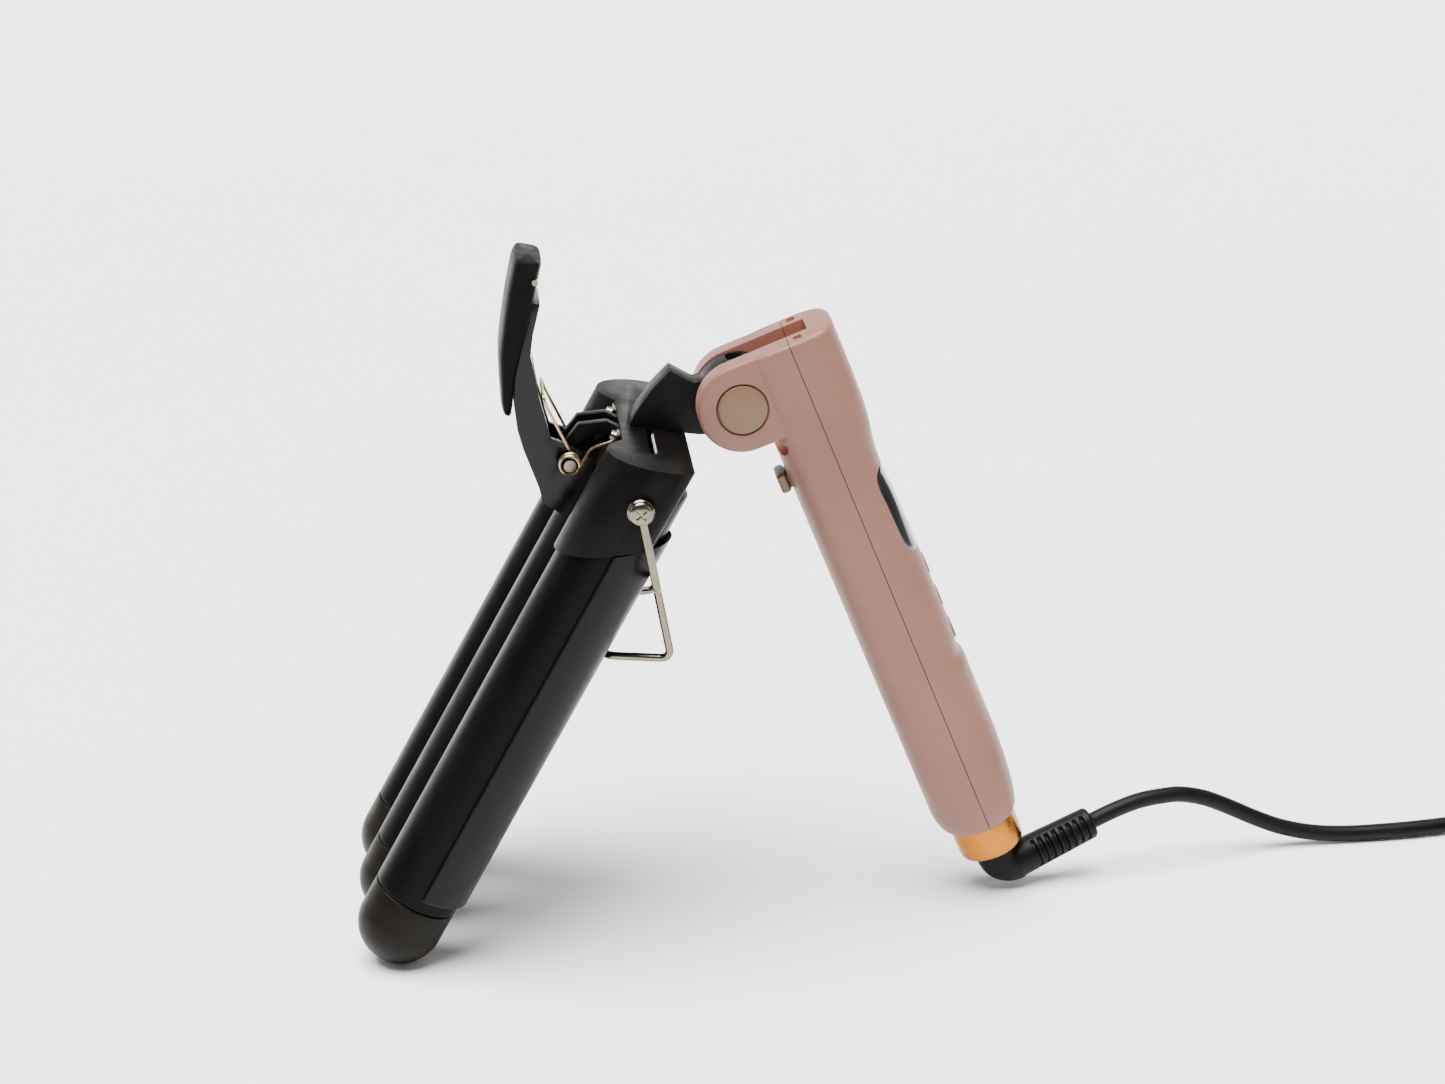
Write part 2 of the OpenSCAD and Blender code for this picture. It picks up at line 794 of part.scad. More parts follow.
// The cover reaches as far as the outer barrels leave room under the housing's floor
cover_t = 1.6;
cover_half = barrel_pitch - sqrt(pow(barrel_r, 2) - pow(housing_floor - cover_t, 2)) - 1.4;
cover_screw_y = cover_half - 3.5;

module cover_plate() {
    translate([housing_floor - cover_t, -cover_half, bridge_s - 1])
        cube([cover_t + eps, 2 * cover_half, 8.5]);
}

module cover_screw_cuts() {
    for (s = [-1, 1])
        translate([4.6, s * cover_screw_y, bridge_s + 3.3])
            rotate([0, 90, 0])
                cylinder(r = 1.2, h = housing_floor);
}

module housing_cover() {
    color([0.10, 0.10, 0.10])
        at_barrels()
            difference() {
                translate([housing_floor - cover_t, -cover_half, bridge_s - 1])
                    cube([cover_t, 2 * cover_half, 8.5]);
                cover_screw_cuts();
            }
}

module cover_screws() {
    color([0.4, 0.4, 0.4])
        at_barrels()
            for (s = [-1, 1])
                translate([4.6, s * cover_screw_y, bridge_s + 3.3])
                    rotate([0, 90, 0]) {
                        cylinder(r = 1.2, h = housing_floor - 4.6);
                        translate([0, 0, housing_floor - 4.6])
                            cylinder(r1 = 2.3, r2 = 1.8, h = 1);
                    }
}

module barrel_tube(top) {
    translate([0, 0, tip_straight])
        tube(barrel_r, barrel_r - barrel_wall, top - tip_straight);
}

module tip_cap() {
    difference() {
        union() {
            sphere(r = barrel_r);
            cylinder(r = barrel_r, h = tip_straight);
            cylinder(r = barrel_r - barrel_wall, h = tip_straight + 5);
        }
        sphere(r = barrel_r - 3);
        cylinder(r = barrel_r - 3, h = tip_straight + 6);
    }
}

// Ceramic heater between two aluminium half rounds
module heater(top) {
    start = tip_straight + 14;
    intersection() {
        translate([0, 0, start])
            cylinder(r = barrel_r - barrel_wall - 0.2, h = top - start - 22);
        translate([-4, -barrel_r, start])
            cube([8, barrel_d, top - start]);
    }
    for (y = [-3, 3])
        translate([0, y, top - 22])
            cylinder(r = 0.9, h = 14);
}

module at_near() {
    at_barrels()
        translate([0, -barrel_pitch, 0])
            children();
}

module at_far() {
    at_barrels()
        translate([0, barrel_pitch, 0])
            children();
}

module near_barrel() {
    color([0.05, 0.05, 0.05])
        at_near()
            barrel_tube(barrel_end);
}

module far_barrel() {
    color([0.05, 0.05, 0.05])
        at_far()
            barrel_tube(barrel_end);
}

module near_tip() {
    color([0.09, 0.08, 0.08])
        at_near()
            tip_cap();
}

module far_tip() {
    color([0.09, 0.08, 0.08])
        at_far()
            tip_cap();
}

module near_heater() {
    color([0.85, 0.83, 0.78])
        at_near()
            heater(barrel_end);
}

module far_heater() {
    color([0.85, 0.83, 0.78])
        at_far()
            heater(barrel_end);
}

// Cross-section of a guard: a trough round the barrel's underside and outer side, with ribs
// that stand on the barrel; side is -1 near, 1 far
module guard_section(side) {
    inner = barrel_r + guard_gap;
    reach = 40;
    difference() {
        circle(r = guard_r);
        circle(r = inner);
        translate([-reach, -reach])
            square([reach, 2 * reach]);
        rotate([0, 0, -side * 30])
            translate([0, side > 0 ? -reach : 0])
                square([reach, reach]);
    }
    for (a = [10, 55, 100])
        rotate([0, 0, side * (90 - a)])
            translate([barrel_r, -0.5])
                square([guard_gap + guard_wall / 2, 1]);
}

module heat_guard(side) {
    difference() {
        translate([0, 0, guard_low])
            linear_extrude(height = guard_high - guard_low)
                guard_section(side);
        side_plate(60)
            housing_side();
    }
}

module near_heat_guard() {
    color([0.12, 0.12, 0.11])
        at_near()
            heat_guard(-1);
}

module far_heat_guard() {
    color([0.12, 0.12, 0.11])
        at_far()
            heat_guard(1);
}

module lever_pin() {
    color([0.7, 0.68, 0.64])
        at_barrels()
            translate([-lever_rise, 0, lever_s])
                along_y(lever_pin_r, -lever_pin_half, lever_pin_half);
}

// Plated tabs, each with its stud, that take the spring's fixed ends
module spring_anchor() {
    color([0.82, 0.78, 0.70])
        at_barrels()
            for (s = [-1, 1])
                translate([-10, s * (arm_w / 2 + 3.5), bridge_s]) {
                    translate([0, -2.8, 0.2])
                        cube([1, 5.6, 3.6]);
                    translate([0, -s * 0.9, 2])
                        rotate([0, -90, 0])
                            cylinder(r1 = 1.7, r2 = 1.2, h = 1.4);
                }
}

module stand_screws() {
    color([0.78, 0.76, 0.72])
        at_barrels()
            for (s = [-1, 1])
                translate([0, 0, stand_s])
                    rotate([s * -90, 0, 0])
                        difference() {
                            union() {
                                translate([0, 0, barrel_pitch + barrel_r])
                                    cylinder(r = stand_screw_r, h = collar_wall + wire_d + 0.7);
                                translate([0, 0, side_y + wire_d + 0.5])
                                    cylinder(r1 = 3.5, r2 = 2.9, h = 1.5);
                            }
                            for (a = [0, 90])
                                rotate([0, 0, a + 20])
                                    translate([-1.7, -0.4, side_y + wire_d + 1])
                                        cube([3.4, 0.8, 2]);
                        }
}

module neck_leads() {
    color([0.85, 0.85, 0.82])
        at_barrels()
            for (y = [-0.8, 0.8])
                wire([[1, y, fold_reach - 8], [1, y, bridge_s + 6.2], [1.3, y * 3, bridge_s + 5.2],
                    [1.6, y * 10, bridge_s + 5], [1.6, y * 24, bridge_s + 5]], 0.7, 6);
}

// ---------- lever with the middle barrel ----------

module middle_barrel() {
    color([0.05, 0.05, 0.05])
        at_barrels()
            barrel_tube(middle_end - 2);
}

module middle_tip() {
    color([0.09, 0.08, 0.08])
        at_barrels()
            tip_cap();
}

module middle_heater() {
    color([0.85, 0.83, 0.78])
        at_barrels()
            heater(middle_end);
}

// Side outline of the lever's horn, from the collar up into the thumb pad
module horn_side() {
    polygon([[-8, lever_s - 15], [-collar_r, lever_s - 15], [-18.5, lever_s - 14.5],
        [-21.5, lever_s - 11], [-26, lever_s - 7], [-30.5, lever_s - 3], [-34.8, lever_s + 1.5],
        [-39, lever_s + 7.5], [-42, lever_s + 14], [-44.5, lever_s + 21], [-47, lever_s + 28],
        [-49, lever_s + 36], [-46, lever_s + 37], [-43.6, lever_s + 28], [-41.5, lever_s + 22.5],
        [-38.3, lever_s + 18.8], [-34, lever_s + 13.1], [-29, lever_s + 7.7],
        [-25, lever_s + 3.5], [-20.8, lever_s + 4], [-17.5, lever_s + 4.2],
        [-8, lever_s + 4.2]]);
}

module lever_arm() {
    channel_w = arm_w - 2 * horn_wall;
    color([0.12, 0.12, 0.12])
        at_barrels()
            difference() {
                union() {
                    translate([0, 0, collar_low + 2.5])
                        cylinder(r = collar_r, h = middle_end - collar_low - 2.5);
                    side_plate(arm_w)
                        horn_side();
                    translate([-lever_rise, 0, lever_s])
                        along_y(4.2, -arm_w / 2, arm_w / 2);
                }
                barrel_bore();
                // open channel between the side walls
                side_plate(channel_w)
                    polygon([[-14.2, lever_s - 9], [-19, lever_s - 9.5], [-24, lever_s - 4.5],
                        [-32.5, lever_s + 3.5], [-37, lever_s + 9.5], [-40, lever_s + 15.5],
                        [-38, lever_s + 30], [-20, lever_s + 20], [-13.9, lever_s + 20]]);
                translate([-lever_rise, 0, lever_s])
                    along_y(lug_r + 0.4, -channel_w / 2, channel_w / 2);
                translate([-lever_rise, 0, lever_s])
                    along_y(lever_pin_r + pin_play, -arm_w, arm_w);
            }
}

module barrel_bore() {
    cylinder(r = barrel_r, h = middle_end - 2);
    cylinder(r = barrel_r - 2, h = middle_end + 1);
}

// Side outline of the thumb pad
module pad_side() {
    polygon([[-38.4, lever_s + 5.4], [-41, lever_s + 5], [-44, lever_s + 9], [-47, lever_s + 13.6],
        [-49.6, lever_s + 19], [-52, lever_s + 25], [-54.4, lever_s + 31.5], [-56.6, lever_s + 38],
        [-58.3, lever_s + 44.5], [-57.4, lever_s + 46.2], [-51.8, lever_s + 47.8],
        [-50.6, lever_s + 46.6], [-48.4, lever_s + 39.5], [-46, lever_s + 32],
        [-43, lever_s + 24], [-43.6, lever_s + 21], [-42.4, lever_s + 16],
        [-40, lever_s + 10]]);
}

module thumb_pad() {
    color([0.11, 0.11, 0.11])
        at_barrels()
            difference() {
                intersection() {
                    side_plate(pad_w)
                        pad_side();
                    translate([-pad_w - 37, 0, lever_s - 10])
                        cylinder(r = pad_w + 0.01, h = 70);
                }
                side_plate(arm_w)
                    horn_side();
                pad_pin_rod(pad_w);
            }
}

module pad_pin_rod(half) {
    translate([-50.5, 0, lever_s + 42.5])
        along_y(0.9, -half, half);
}

module pad_pin() {
    color([0.8, 0.8, 0.8])
        at_barrels()
            pad_pin_rod(pad_w / 2 + 0.3);
}

// Double torsion spring: two coils on the lever pin, one loop lying on the horn's edges
module lever_spring() {
    r = lever_pin_r + 1;
    inner_y = arm_w / 2 + 0.8;
    outer_y = inner_y + 3.8;
    leg_x = -lever_rise + r;
    half = concat([[-10.5, -outer_y - 0.9, bridge_s + 1], [-12, -outer_y - 0.7, bridge_s - 0.6],
        [leg_x, -outer_y, lever_s + 6], [leg_x, -outer_y, lever_s + 2]],
        coil_points(-lever_rise, lever_s, r, -outer_y, -inner_y, 0, 3.3),
        [[-32.6, -inner_y, lever_s + 13.2]]);
    far_half = [for (i = [len(half) - 1 : -1 : 0]) [half[i][0], -half[i][1], half[i][2]]];
    color([0.78, 0.70, 0.60])
        at_barrels()
            wire(concat(half, [[-33.2, -inner_y + 1.2, lever_s + 13.9], [-33.2, inner_y - 1.2, lever_s + 13.9]],
                far_half), 0.45, 6);
}

// ---------- wire stand ----------

eye_y = side_y + 0.3 + wire_d / 2;
eye_r = stand_screw_r + 0.06 + wire_d / 2;

module wire_stand() {
    r = wire_d / 2;
    half = [[0, -eye_y, -eye_r + 0.2], [0, -eye_y, -jog_len], [0, -leg_half - 2, -jog_len + 0.2],
        [0, -leg_half, -leg_len], [-foot_len, -leg_half + 3.5, -leg_len + 3.6]];
    far_half = [for (i = [len(half) - 1 : -1 : 0]) [half[i][0], -half[i][1], half[i][2]]];
    color([0.76, 0.73, 0.66])
        at_barrels()
            at_stand() {
                wire(rounded(concat(half, far_half), 3.4, 4), r, 10);
                for (s = [-1, 1])
                    translate([0, s * eye_y, 0])
                        rotate([90, 0, 0])
                            rotate_extrude()
                                translate([eye_r, 0])
                                    circle(r = r, $fn = 24);
            }
}

// ---------- lock slider ----------

module lock_bolt() {
    color([0.72, 0.64, 0.58])
        at_handle() {
            translate([bolt_t - 1.6, -2.5, -knob_s - 2])
                cube([3.2, 5, knob_s + 2 - bolt_tip]);
            translate([bolt_t - 1.6, -5, -knob_s - 8])
                cube([3.2, 10, 13]);
        }
}

module lock_knob() {
    color([0.80, 0.70, 0.62])
        at_handle() {
            translate([grip_in - 0.4, -3, -knob_s - 2.9])
                cube([bolt_t - 1.6 - grip_in + 0.4, 6, 5.8]);
            translate([grip_in - 3.4, -5, -knob_s - 2.9])
                cube([3, 10, 5.8]);
        }
}

// ---------- buttons ----------

module button(k) {
    color([0.86, 0.78, 0.76])
        at_handle()
            translate([grip_out - 4, 0, -button_s - k * button_pitch])
                rotate([0, 90, 0]) {
                    cylinder(r = button_r, h = 4.5);
                    cylinder(r = 1.2, h = 1);
                }
}

module power_button() {
    button(0);
}

module hotter_button() {
    button(1);
}

module cooler_button() {
    button(2);
}

// ---------- cord swivel ----------

module cord_elbow() {
    ribs = 8;
    rib_pitch = 2.4;
    color([0.08, 0.08, 0.08])
        at_handle()
            at_elbow()
                difference() {
                    union() {
                        cylinder(r = elbow_r, h = stub_drop - 0.4);
                        sphere(r = elbow_r);
                        rotate([0, 90, 0])
                            cylinder(r1 = elbow_r - 0.9, r2 = sleeve_blunt_r, h = sleeve_len);
                    }
                    for (k = [0 : ribs - 1])
                        translate([sleeve_len - 2.5 - k * rib_pitch, 0, 0])
                            rotate([0, 90, 0])
                                difference() {
                                    cylinder(r = 8, h = 1);
                                    translate([0, 0, -1])
                                        cylinder(r = sleeve_blunt_r - slot_depth + k * 0.03, h = 3);
                                    translate([-9, -9, -1])
                                        cube([7.4, 18, 3]);
                                    translate([1.6, -9, -1])
                                        cube([8, 18, 3]);
                                }
                    translate([0, 0, 2])
                        cylinder(r = 2.4, h = stub_drop + 2);
                }
}

module swivel_spindle() {
    color([0.25, 0.25, 0.25])
        at_handle()
            at_elbow() {
                translate([0, 0, stub_drop - 0.4])
                    tube(spindle_r, 2.4, ring_h + shell_wall + 15.5);
                translate([0, 0, stub_drop + ring_h + shell_wall + 4])
                    tube(6.4, spindle_r, 2);
            }
}

module slip_rings() {
    color("goldenrod")
        at_handle()
            at_elbow()
                for (k = [0, 1])
                    translate([0, 0, elbow_s - contact_s + k * contact_pitch])
                        tube(contact_r, spindle_r, contact_w);
}

handle_inner_shell();
handle_outer_shell();
shell_screws();
fold_pin();
pin_caps();
friction_washers();
display_window();
display_board();
control_board();
handle_leads();
end_ring();
swivel_bush();
brush_contacts();
lock_spring();
cord_run();
cord_coil();
cord_tie();
plug_body();
plug_pins();
barrel_housing();
hinge_neck();
housing_cover();
cover_screws();
near_barrel();
far_barrel();
near_tip();
far_tip();
near_heater();
far_heater();
near_heat_guard();
far_heat_guard();
lever_pin();
spring_anchor();
stand_screws();
neck_leads();
middle_barrel();
middle_tip();
middle_heater();
lever_arm();
thumb_pad();
pad_pin();
lever_spring();
wire_stand();
lock_bolt();
lock_knob();
power_button();
hotter_button();
cooler_button();
cord_elbow();
swivel_spindle();
slip_rings();
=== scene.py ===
"""Looks for a foldable triple-barrel hair waver that stands open like a tent.

Every piece is worked out in the frame of the body it belongs to, in millimetres, and its place ends up
in its mesh. Two slanted frames are used throughout: the barrels' and the handle's.
"""

import json
import math

import bmesh
import bpy
import numpy as np
from mathutils import Matrix, Vector


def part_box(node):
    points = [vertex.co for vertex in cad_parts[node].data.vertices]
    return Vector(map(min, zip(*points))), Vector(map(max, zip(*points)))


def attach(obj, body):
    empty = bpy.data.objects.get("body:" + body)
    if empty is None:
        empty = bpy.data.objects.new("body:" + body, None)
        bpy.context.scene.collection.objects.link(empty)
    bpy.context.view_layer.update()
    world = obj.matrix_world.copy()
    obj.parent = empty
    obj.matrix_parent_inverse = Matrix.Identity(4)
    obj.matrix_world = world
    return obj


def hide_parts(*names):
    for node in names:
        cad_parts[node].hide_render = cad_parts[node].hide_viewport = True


bl_info = {
    "name": "Folding Hair Waver",
    "version": (1, 0, 0),
    "blender": (4, 5, 0),
    "location": "View3D > Sidebar > Waver",
    "description": "Builds the visible pieces and finishes of a folding triple-barrel hair waver",
    "category": "Add Mesh",
}

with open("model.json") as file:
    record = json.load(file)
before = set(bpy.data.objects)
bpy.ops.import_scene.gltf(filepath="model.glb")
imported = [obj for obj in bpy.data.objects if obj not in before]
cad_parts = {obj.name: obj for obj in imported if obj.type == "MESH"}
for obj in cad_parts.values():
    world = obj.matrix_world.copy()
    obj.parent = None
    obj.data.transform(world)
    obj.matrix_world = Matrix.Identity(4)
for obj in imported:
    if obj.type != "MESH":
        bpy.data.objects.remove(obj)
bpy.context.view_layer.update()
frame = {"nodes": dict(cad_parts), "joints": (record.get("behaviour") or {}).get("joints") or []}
MM = 0.001

# ---------------------------------------------------------------- places from the frame


def joint(name):
    """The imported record's joint of that name."""
    return next(j for j in frame["joints"] if j["name"] == name)


def turned(axis, degrees):
    """Rotation matrix about one of the model's axes, by the right-hand rule."""
    return np.array(Matrix.Rotation(math.radians(degrees), 3, axis))


def placed(origin, rotation):
    """4 by 4 matrix that turns a local point and then moves it to origin."""
    made = np.eye(4)
    made[:3, :3] = rotation
    made[:3, 3] = origin
    return made


def within(matrix, point, rotation=np.eye(3)):
    """Frame whose origin is a local point of another frame and whose axes are turned further in it."""
    return placed(matrix[:3, :3] @ np.array(point, float) + matrix[:3, 3], matrix[:3, :3] @ rotation)


# how far the barrels and the stand's legs lean from the vertical, and the elbow turns towards the back
BARREL_LEAN = 29.0
STAND_LEAN = -10.0
ELBOW_TURN = 10.0
PIVOT = np.array(joint("fold_hinge")["pos_m"]) / MM
HANDLE_LEAN = -BARREL_LEAN - joint("fold_hinge")["range_deg"][0]
TIP_LOW = np.array(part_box("middle_tip")[0]) / MM
BARREL_R = -TIP_LOW[1]
# barrels: X out of the underside, Z up from the middle tip's dome centre
BARRELS = placed([TIP_LOW[0] + BARREL_R, 0, BARREL_R], turned("Y", BARREL_LEAN))
# handle: X to the outer face, Z up to the fold axis, so the grip lies at negative Z
HANDLE = placed(PIVOT, turned("Y", -HANDLE_LEAN))
STAND = placed(np.array(joint("stand_hinge")["pos_m"]) / MM, turned("Y", STAND_LEAN))
SWIVEL = np.array(joint("cord_swivel_turn")["pos_m"]) / MM
ELBOW = placed(SWIVEL, turned("Y", -HANDLE_LEAN) @ turned("Z", ELBOW_TURN))

# barrels: spacing, the lever pin's place (X, Z), the stand screws' height, the middle tube's upper end
PITCH = 29.0
LEVER = (-17.5, 141.0)
STAND_S = 146.5
MIDDLE_TOP = 147.4
# handle: flat head, lower end, half width, parting plane and the gap along it; s is the distance below
# the fold axis
HEAD_TOP = -12.8
GRIP_LEN = 152.0
GRIP_HALF = 13.5
PARTING = 19.0
SEAM = 0.22
WALL = 2.2
# fork: outer face of an ear, half width of the slot, face of a cap, radius of an ear
EAR_FACE = 12.2
FORK_HALF = 5.1
CAP_TOP = 13.0
EAR_R = 12.8
# places down the grip: knob, display, keys and their spacing, lower shell screw, upper shell screws
KNOB_S = 28.0
DISPLAY_S = 47.0
KEY_S = 69.0
KEY_STEP = 11.0
LOW_SCREW_S = 126.0
HIGH_SCREW = (16.0, 8.6)
SWIVEL_T = 17.85
# cord: diameter, centre and mean radius of the coil, and where the plug begins
CORD_D = 5.0
COIL = (263.0, -12.0)
COIL_R = 28.0
PLUG_AT = (285.0, -3.5, 23.0)
PLUG_PIN_HALF = 9.5

# the handle's frame with Z across the grip, with Z to the outer face, and on the swivel's axis
ACROSS = within(HANDLE, (0, 0, 0), turned("X", 90.0))
FACE = within(HANDLE, (0, 0, 0), turned("Y", 90.0))
SWIVEL_END = within(HANDLE, (SWIVEL_T, 0, 0))


def to_row(matrix, points):
    """Local points in mm to the model's frame in metres."""
    points = np.asarray(points, float)
    return (points @ matrix[:3, :3].T + matrix[:3, 3]) * MM


# ---------------------------------------------------------------- surfaces


def smooth_line(known_x, known_y, x):
    """Cubic through known points: each stretch is a Hermite blend whose end slopes are the mean slope
    of its neighbours, or level where the line turns."""
    kx, ky = np.asarray(known_x, float), np.asarray(known_y, float)
    slope = np.gradient(ky, kx)
    rise = np.diff(ky) / np.diff(kx)
    flat = np.concatenate([[False], rise[1:] * rise[:-1] <= 0, [False]])
    slope[flat] = 0
    i = np.clip(np.searchsorted(kx, x, side="right") - 1, 0, len(kx) - 2)
    h = kx[i + 1] - kx[i]
    u = np.clip((x - kx[i]) / h, 0, 1)
    return (
        (2 * u**3 - 3 * u**2 + 1) * ky[i]
        + (u**3 - 2 * u**2 + u) * h * slope[i]
        + (3 * u**2 - 2 * u**3) * ky[i + 1]
        + (u**3 - u**2) * h * slope[i + 1]
    )


def smooth_route(points, steps):
    """Curve through points in space: each coordinate is a smooth_line over the chord length."""
    points = np.asarray(points, float)
    along = np.concatenate([[0], np.cumsum(np.linalg.norm(np.diff(points, axis=0), axis=1))])
    x = np.linspace(0, along[-1], steps)
    return np.stack([smooth_line(along, points[:, k], x) for k in range(3)], 1)


def signed_power(x, n):
    """|x| to the power n with x's sign."""
    return np.sign(x) * np.abs(x) ** n


def oval(half_a, half_b, n, count):
    """Superellipse |x/a|^n + |y/b|^n = 1, closed, as (count + 1, 2) points. Given rows of sizes or
    exponents, it makes one such ring for each."""
    v = np.linspace(0, 2 * np.pi, count + 1)
    a, b, n = (np.asarray(size, float)[..., None] for size in (half_a, half_b, n))
    x, y = np.broadcast_arrays(a * signed_power(np.cos(v), 2 / n), b * signed_power(np.sin(v), 2 / n))
    return np.stack([x, y], -1)


def stacked(rings, height):
    """Flat rings of (x, y) points, each lifted to its own height."""
    return np.concatenate([rings, np.broadcast_to(height[:, None, None], (*rings.shape[:2], 1))], 2)


def revolved(profile, count=72):
    """Profile of (radius, height) points turned about Z: x = r cos v, y = r sin v."""
    profile = np.asarray(profile, float)
    v = np.linspace(0, 2 * np.pi, count + 1)
    r, z = profile[:, :1], profile[:, 1:]
    return np.stack([r * np.cos(v), r * np.sin(v), z + 0 * v], 2)


def arc(centre, radius, start, end, count=8):
    """Points of a circular arc in a plane, angles in degrees."""
    a = np.radians(np.linspace(start, end, count))
    return np.stack([centre[0] + radius * np.cos(a), centre[1] + radius * np.sin(a)], 1)


def capped(rows):
    """Rows of points with both ends drawn in to their centre, so the ends are closed and flat."""
    first = np.repeat(rows[:1].mean(1, keepdims=True), rows.shape[1], 1)
    last = np.repeat(rows[-1:].mean(1, keepdims=True), rows.shape[1], 1)
    return np.concatenate([first, rows, last])


def tube(path, radius, count=16, closed=False):
    """Circle of the given radius carried along a path: its plane is square to the path, and it turns
    from ring to ring only as much as the path bends (the twist of each step is taken out)."""
    path = np.asarray(path, float)
    ahead = np.roll(path, -1, 0) - np.roll(path, 1, 0)
    if not closed:
        ahead[0], ahead[-1] = path[1] - path[0], path[-1] - path[-2]
    t = ahead / np.linalg.norm(ahead, axis=1, keepdims=True)
    first = np.cross(t[0], [0.0, 0.0, 1.0] if abs(t[0][2]) < 0.9 else [1.0, 0.0, 0.0])
    n = [first / np.linalg.norm(first)]
    for k in range(1, len(path)):
        carried = n[-1] - (n[-1] @ t[k]) * t[k]
        n.append(carried / np.linalg.norm(carried))
    n = np.array(n)
    b = np.cross(t, n)
    v = np.linspace(0, 2 * np.pi, count + 1)
    r = np.broadcast_to(np.asarray(radius, float), len(path))[:, None, None]
    rings = path[:, None] + r * (
        np.cos(v)[None, :, None] * n[:, None] + np.sin(v)[None, :, None] * b[:, None]
    )
    return rings


def rounded_block(size, edge, n=6.0, count=48, rows=6):
    """Block with rounded sides: a superellipse of the given sizes rises along Z, and near both ends it
    is drawn in by a quarter circle of the edge's radius."""
    x, y, z = size
    a = np.linspace(0, np.pi / 2, rows)
    inset = np.concatenate([edge * (1 - np.sin(a)), edge * (1 - np.sin(a[::-1]))])
    height = np.concatenate([edge * (1 - np.cos(a)), z - edge * (1 - np.cos(a[::-1]))])
    return capped(stacked(oval(x / 2 - inset, y / 2 - inset, n, count), height))


def slab(outline, y0, y1, edge=0.0, rows=5):
    """Closed outline in the X-Z plane carried along Y, drawn in near both ends by a quarter circle.
    Each outline point moves along its own inward normal."""
    outline = np.asarray(outline, float)
    if np.linalg.norm(outline[0] - outline[-1]) > 1e-9:
        outline = np.vstack([outline, outline[:1]])
    ahead = np.roll(outline[:-1], -1, 0) - np.roll(outline[:-1], 1, 0)
    normal = np.stack([-ahead[:, 1], ahead[:, 0]], 1)
    normal /= np.linalg.norm(normal, axis=1, keepdims=True)
    area = 0.5 * np.sum(outline[:-1, 0] * outline[1:, 1] - outline[1:, 0] * outline[:-1, 1])
    normal = np.vstack([normal, normal[:1]]) * (1 if area > 0 else -1)
    a = np.linspace(0, np.pi / 2, rows) if edge else np.array([np.pi / 2])
    inset = edge * (1 - np.sin(a))
    lift = edge * (1 - np.cos(a))
    inset = np.concatenate([inset, inset[::-1]])
    place = np.concatenate([y0 + lift, y1 - lift[::-1]])
    flat = outline[None] + inset[:, None, None] * normal[None]
    grid = np.stack([flat[..., 0], np.broadcast_to(place[:, None], flat.shape[:2]), flat[..., 1]], 2)
    return capped(grid)


# ---------------------------------------------------------------- meshes


def grids_to_mesh(name, grids):
    """One mesh from grids of points in metres: each four neighbours make a face, and points that
    coincide are merged, which closes seams and poles."""
    points, faces, base = [], [], 0
    for grid in grids:
        m, n = grid.shape[:2]
        i = np.arange(m - 1)[:, None] * n + np.arange(n - 1)[None] + base
        faces.append(np.stack([i, i + 1, i + n + 1, i + n], 2).reshape(-1, 4))
        points.append(grid.reshape(-1, 3))
        base += m * n
    mesh = bpy.data.meshes.new(name)
    mesh.from_pydata(np.concatenate(points), [], np.concatenate(faces))
    tidy(mesh)
    return mesh


def tidy(mesh, merge=2e-6):
    """Merges doubled points, drops faces without area and turns all faces outwards."""
    bm = bmesh.new()
    bm.from_mesh(mesh)
    bmesh.ops.remove_doubles(bm, verts=bm.verts, dist=merge)
    bmesh.ops.dissolve_degenerate(bm, edges=bm.edges, dist=1e-7)
    bmesh.ops.recalc_face_normals(bm, faces=bm.faces)
    bm.to_mesh(mesh)
    bm.free()


def crisp(mesh, degrees=32.0):
    """Smooth shading that keeps edges sharper than the given angle."""
    mesh.shade_smooth()
    mesh.set_sharp_from_angle(angle=math.radians(degrees))


def shown(name, mesh, material, body, hides=(), degrees=32.0):
    """Makes a mesh a visible piece: its finish, the body it rides on, and the CAD nodes it stands for."""
    obj = bpy.data.objects.new(name, mesh)
    bpy.context.scene.collection.objects.link(obj)
    materials = material if isinstance(material, (list, tuple)) else [material]
    mesh.materials.clear()
    for m in materials:
        mesh.materials.append(m)
    crisp(mesh, degrees)
    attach(obj, body)
    if hides:
        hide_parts(*hides)
    return obj


def surface(name, grids, matrix, material, body, hides=(), degrees=32.0):
    """A piece from grids of local points in mm."""
    mesh = grids_to_mesh(name, [to_row(matrix, g) for g in grids])
    return shown(name, mesh, material, body, hides, degrees)


def baked(obj):
    """The object's mesh with its modifiers worked in; the modifiers go."""
    graph = bpy.context.evaluated_depsgraph_get()
    made = bpy.data.meshes.new_from_object(obj.evaluated_get(graph))
    obj.modifiers.clear()
    old, obj.data = obj.data, made
    made.name = obj.name
    bpy.data.meshes.remove(old)
    return made


def loose(name, grids, matrix=None):
    """A plain object for cutting with, from grids in mm."""
    matrix = np.eye(4) if matrix is None else matrix
    mesh = grids_to_mesh(name, [to_row(matrix, g) for g in grids])
    obj = bpy.data.objects.new(name, mesh)
    bpy.context.scene.collection.objects.link(obj)
    return obj


def freed(obj, mesh):
    """Removes a helper object and hands on its mesh."""
    bpy.data.objects.remove(obj)
    return mesh


def combined(target, other, operation):
    """Boolean of two closed objects; the other one is removed."""
    cut = target.modifiers.new(operation, "BOOLEAN")
    cut.operation = operation
    cut.solver = "MANIFOLD"
    cut.object = other
    bpy.context.view_layer.update()
    baked(target)
    bpy.data.objects.remove(other)
    return target


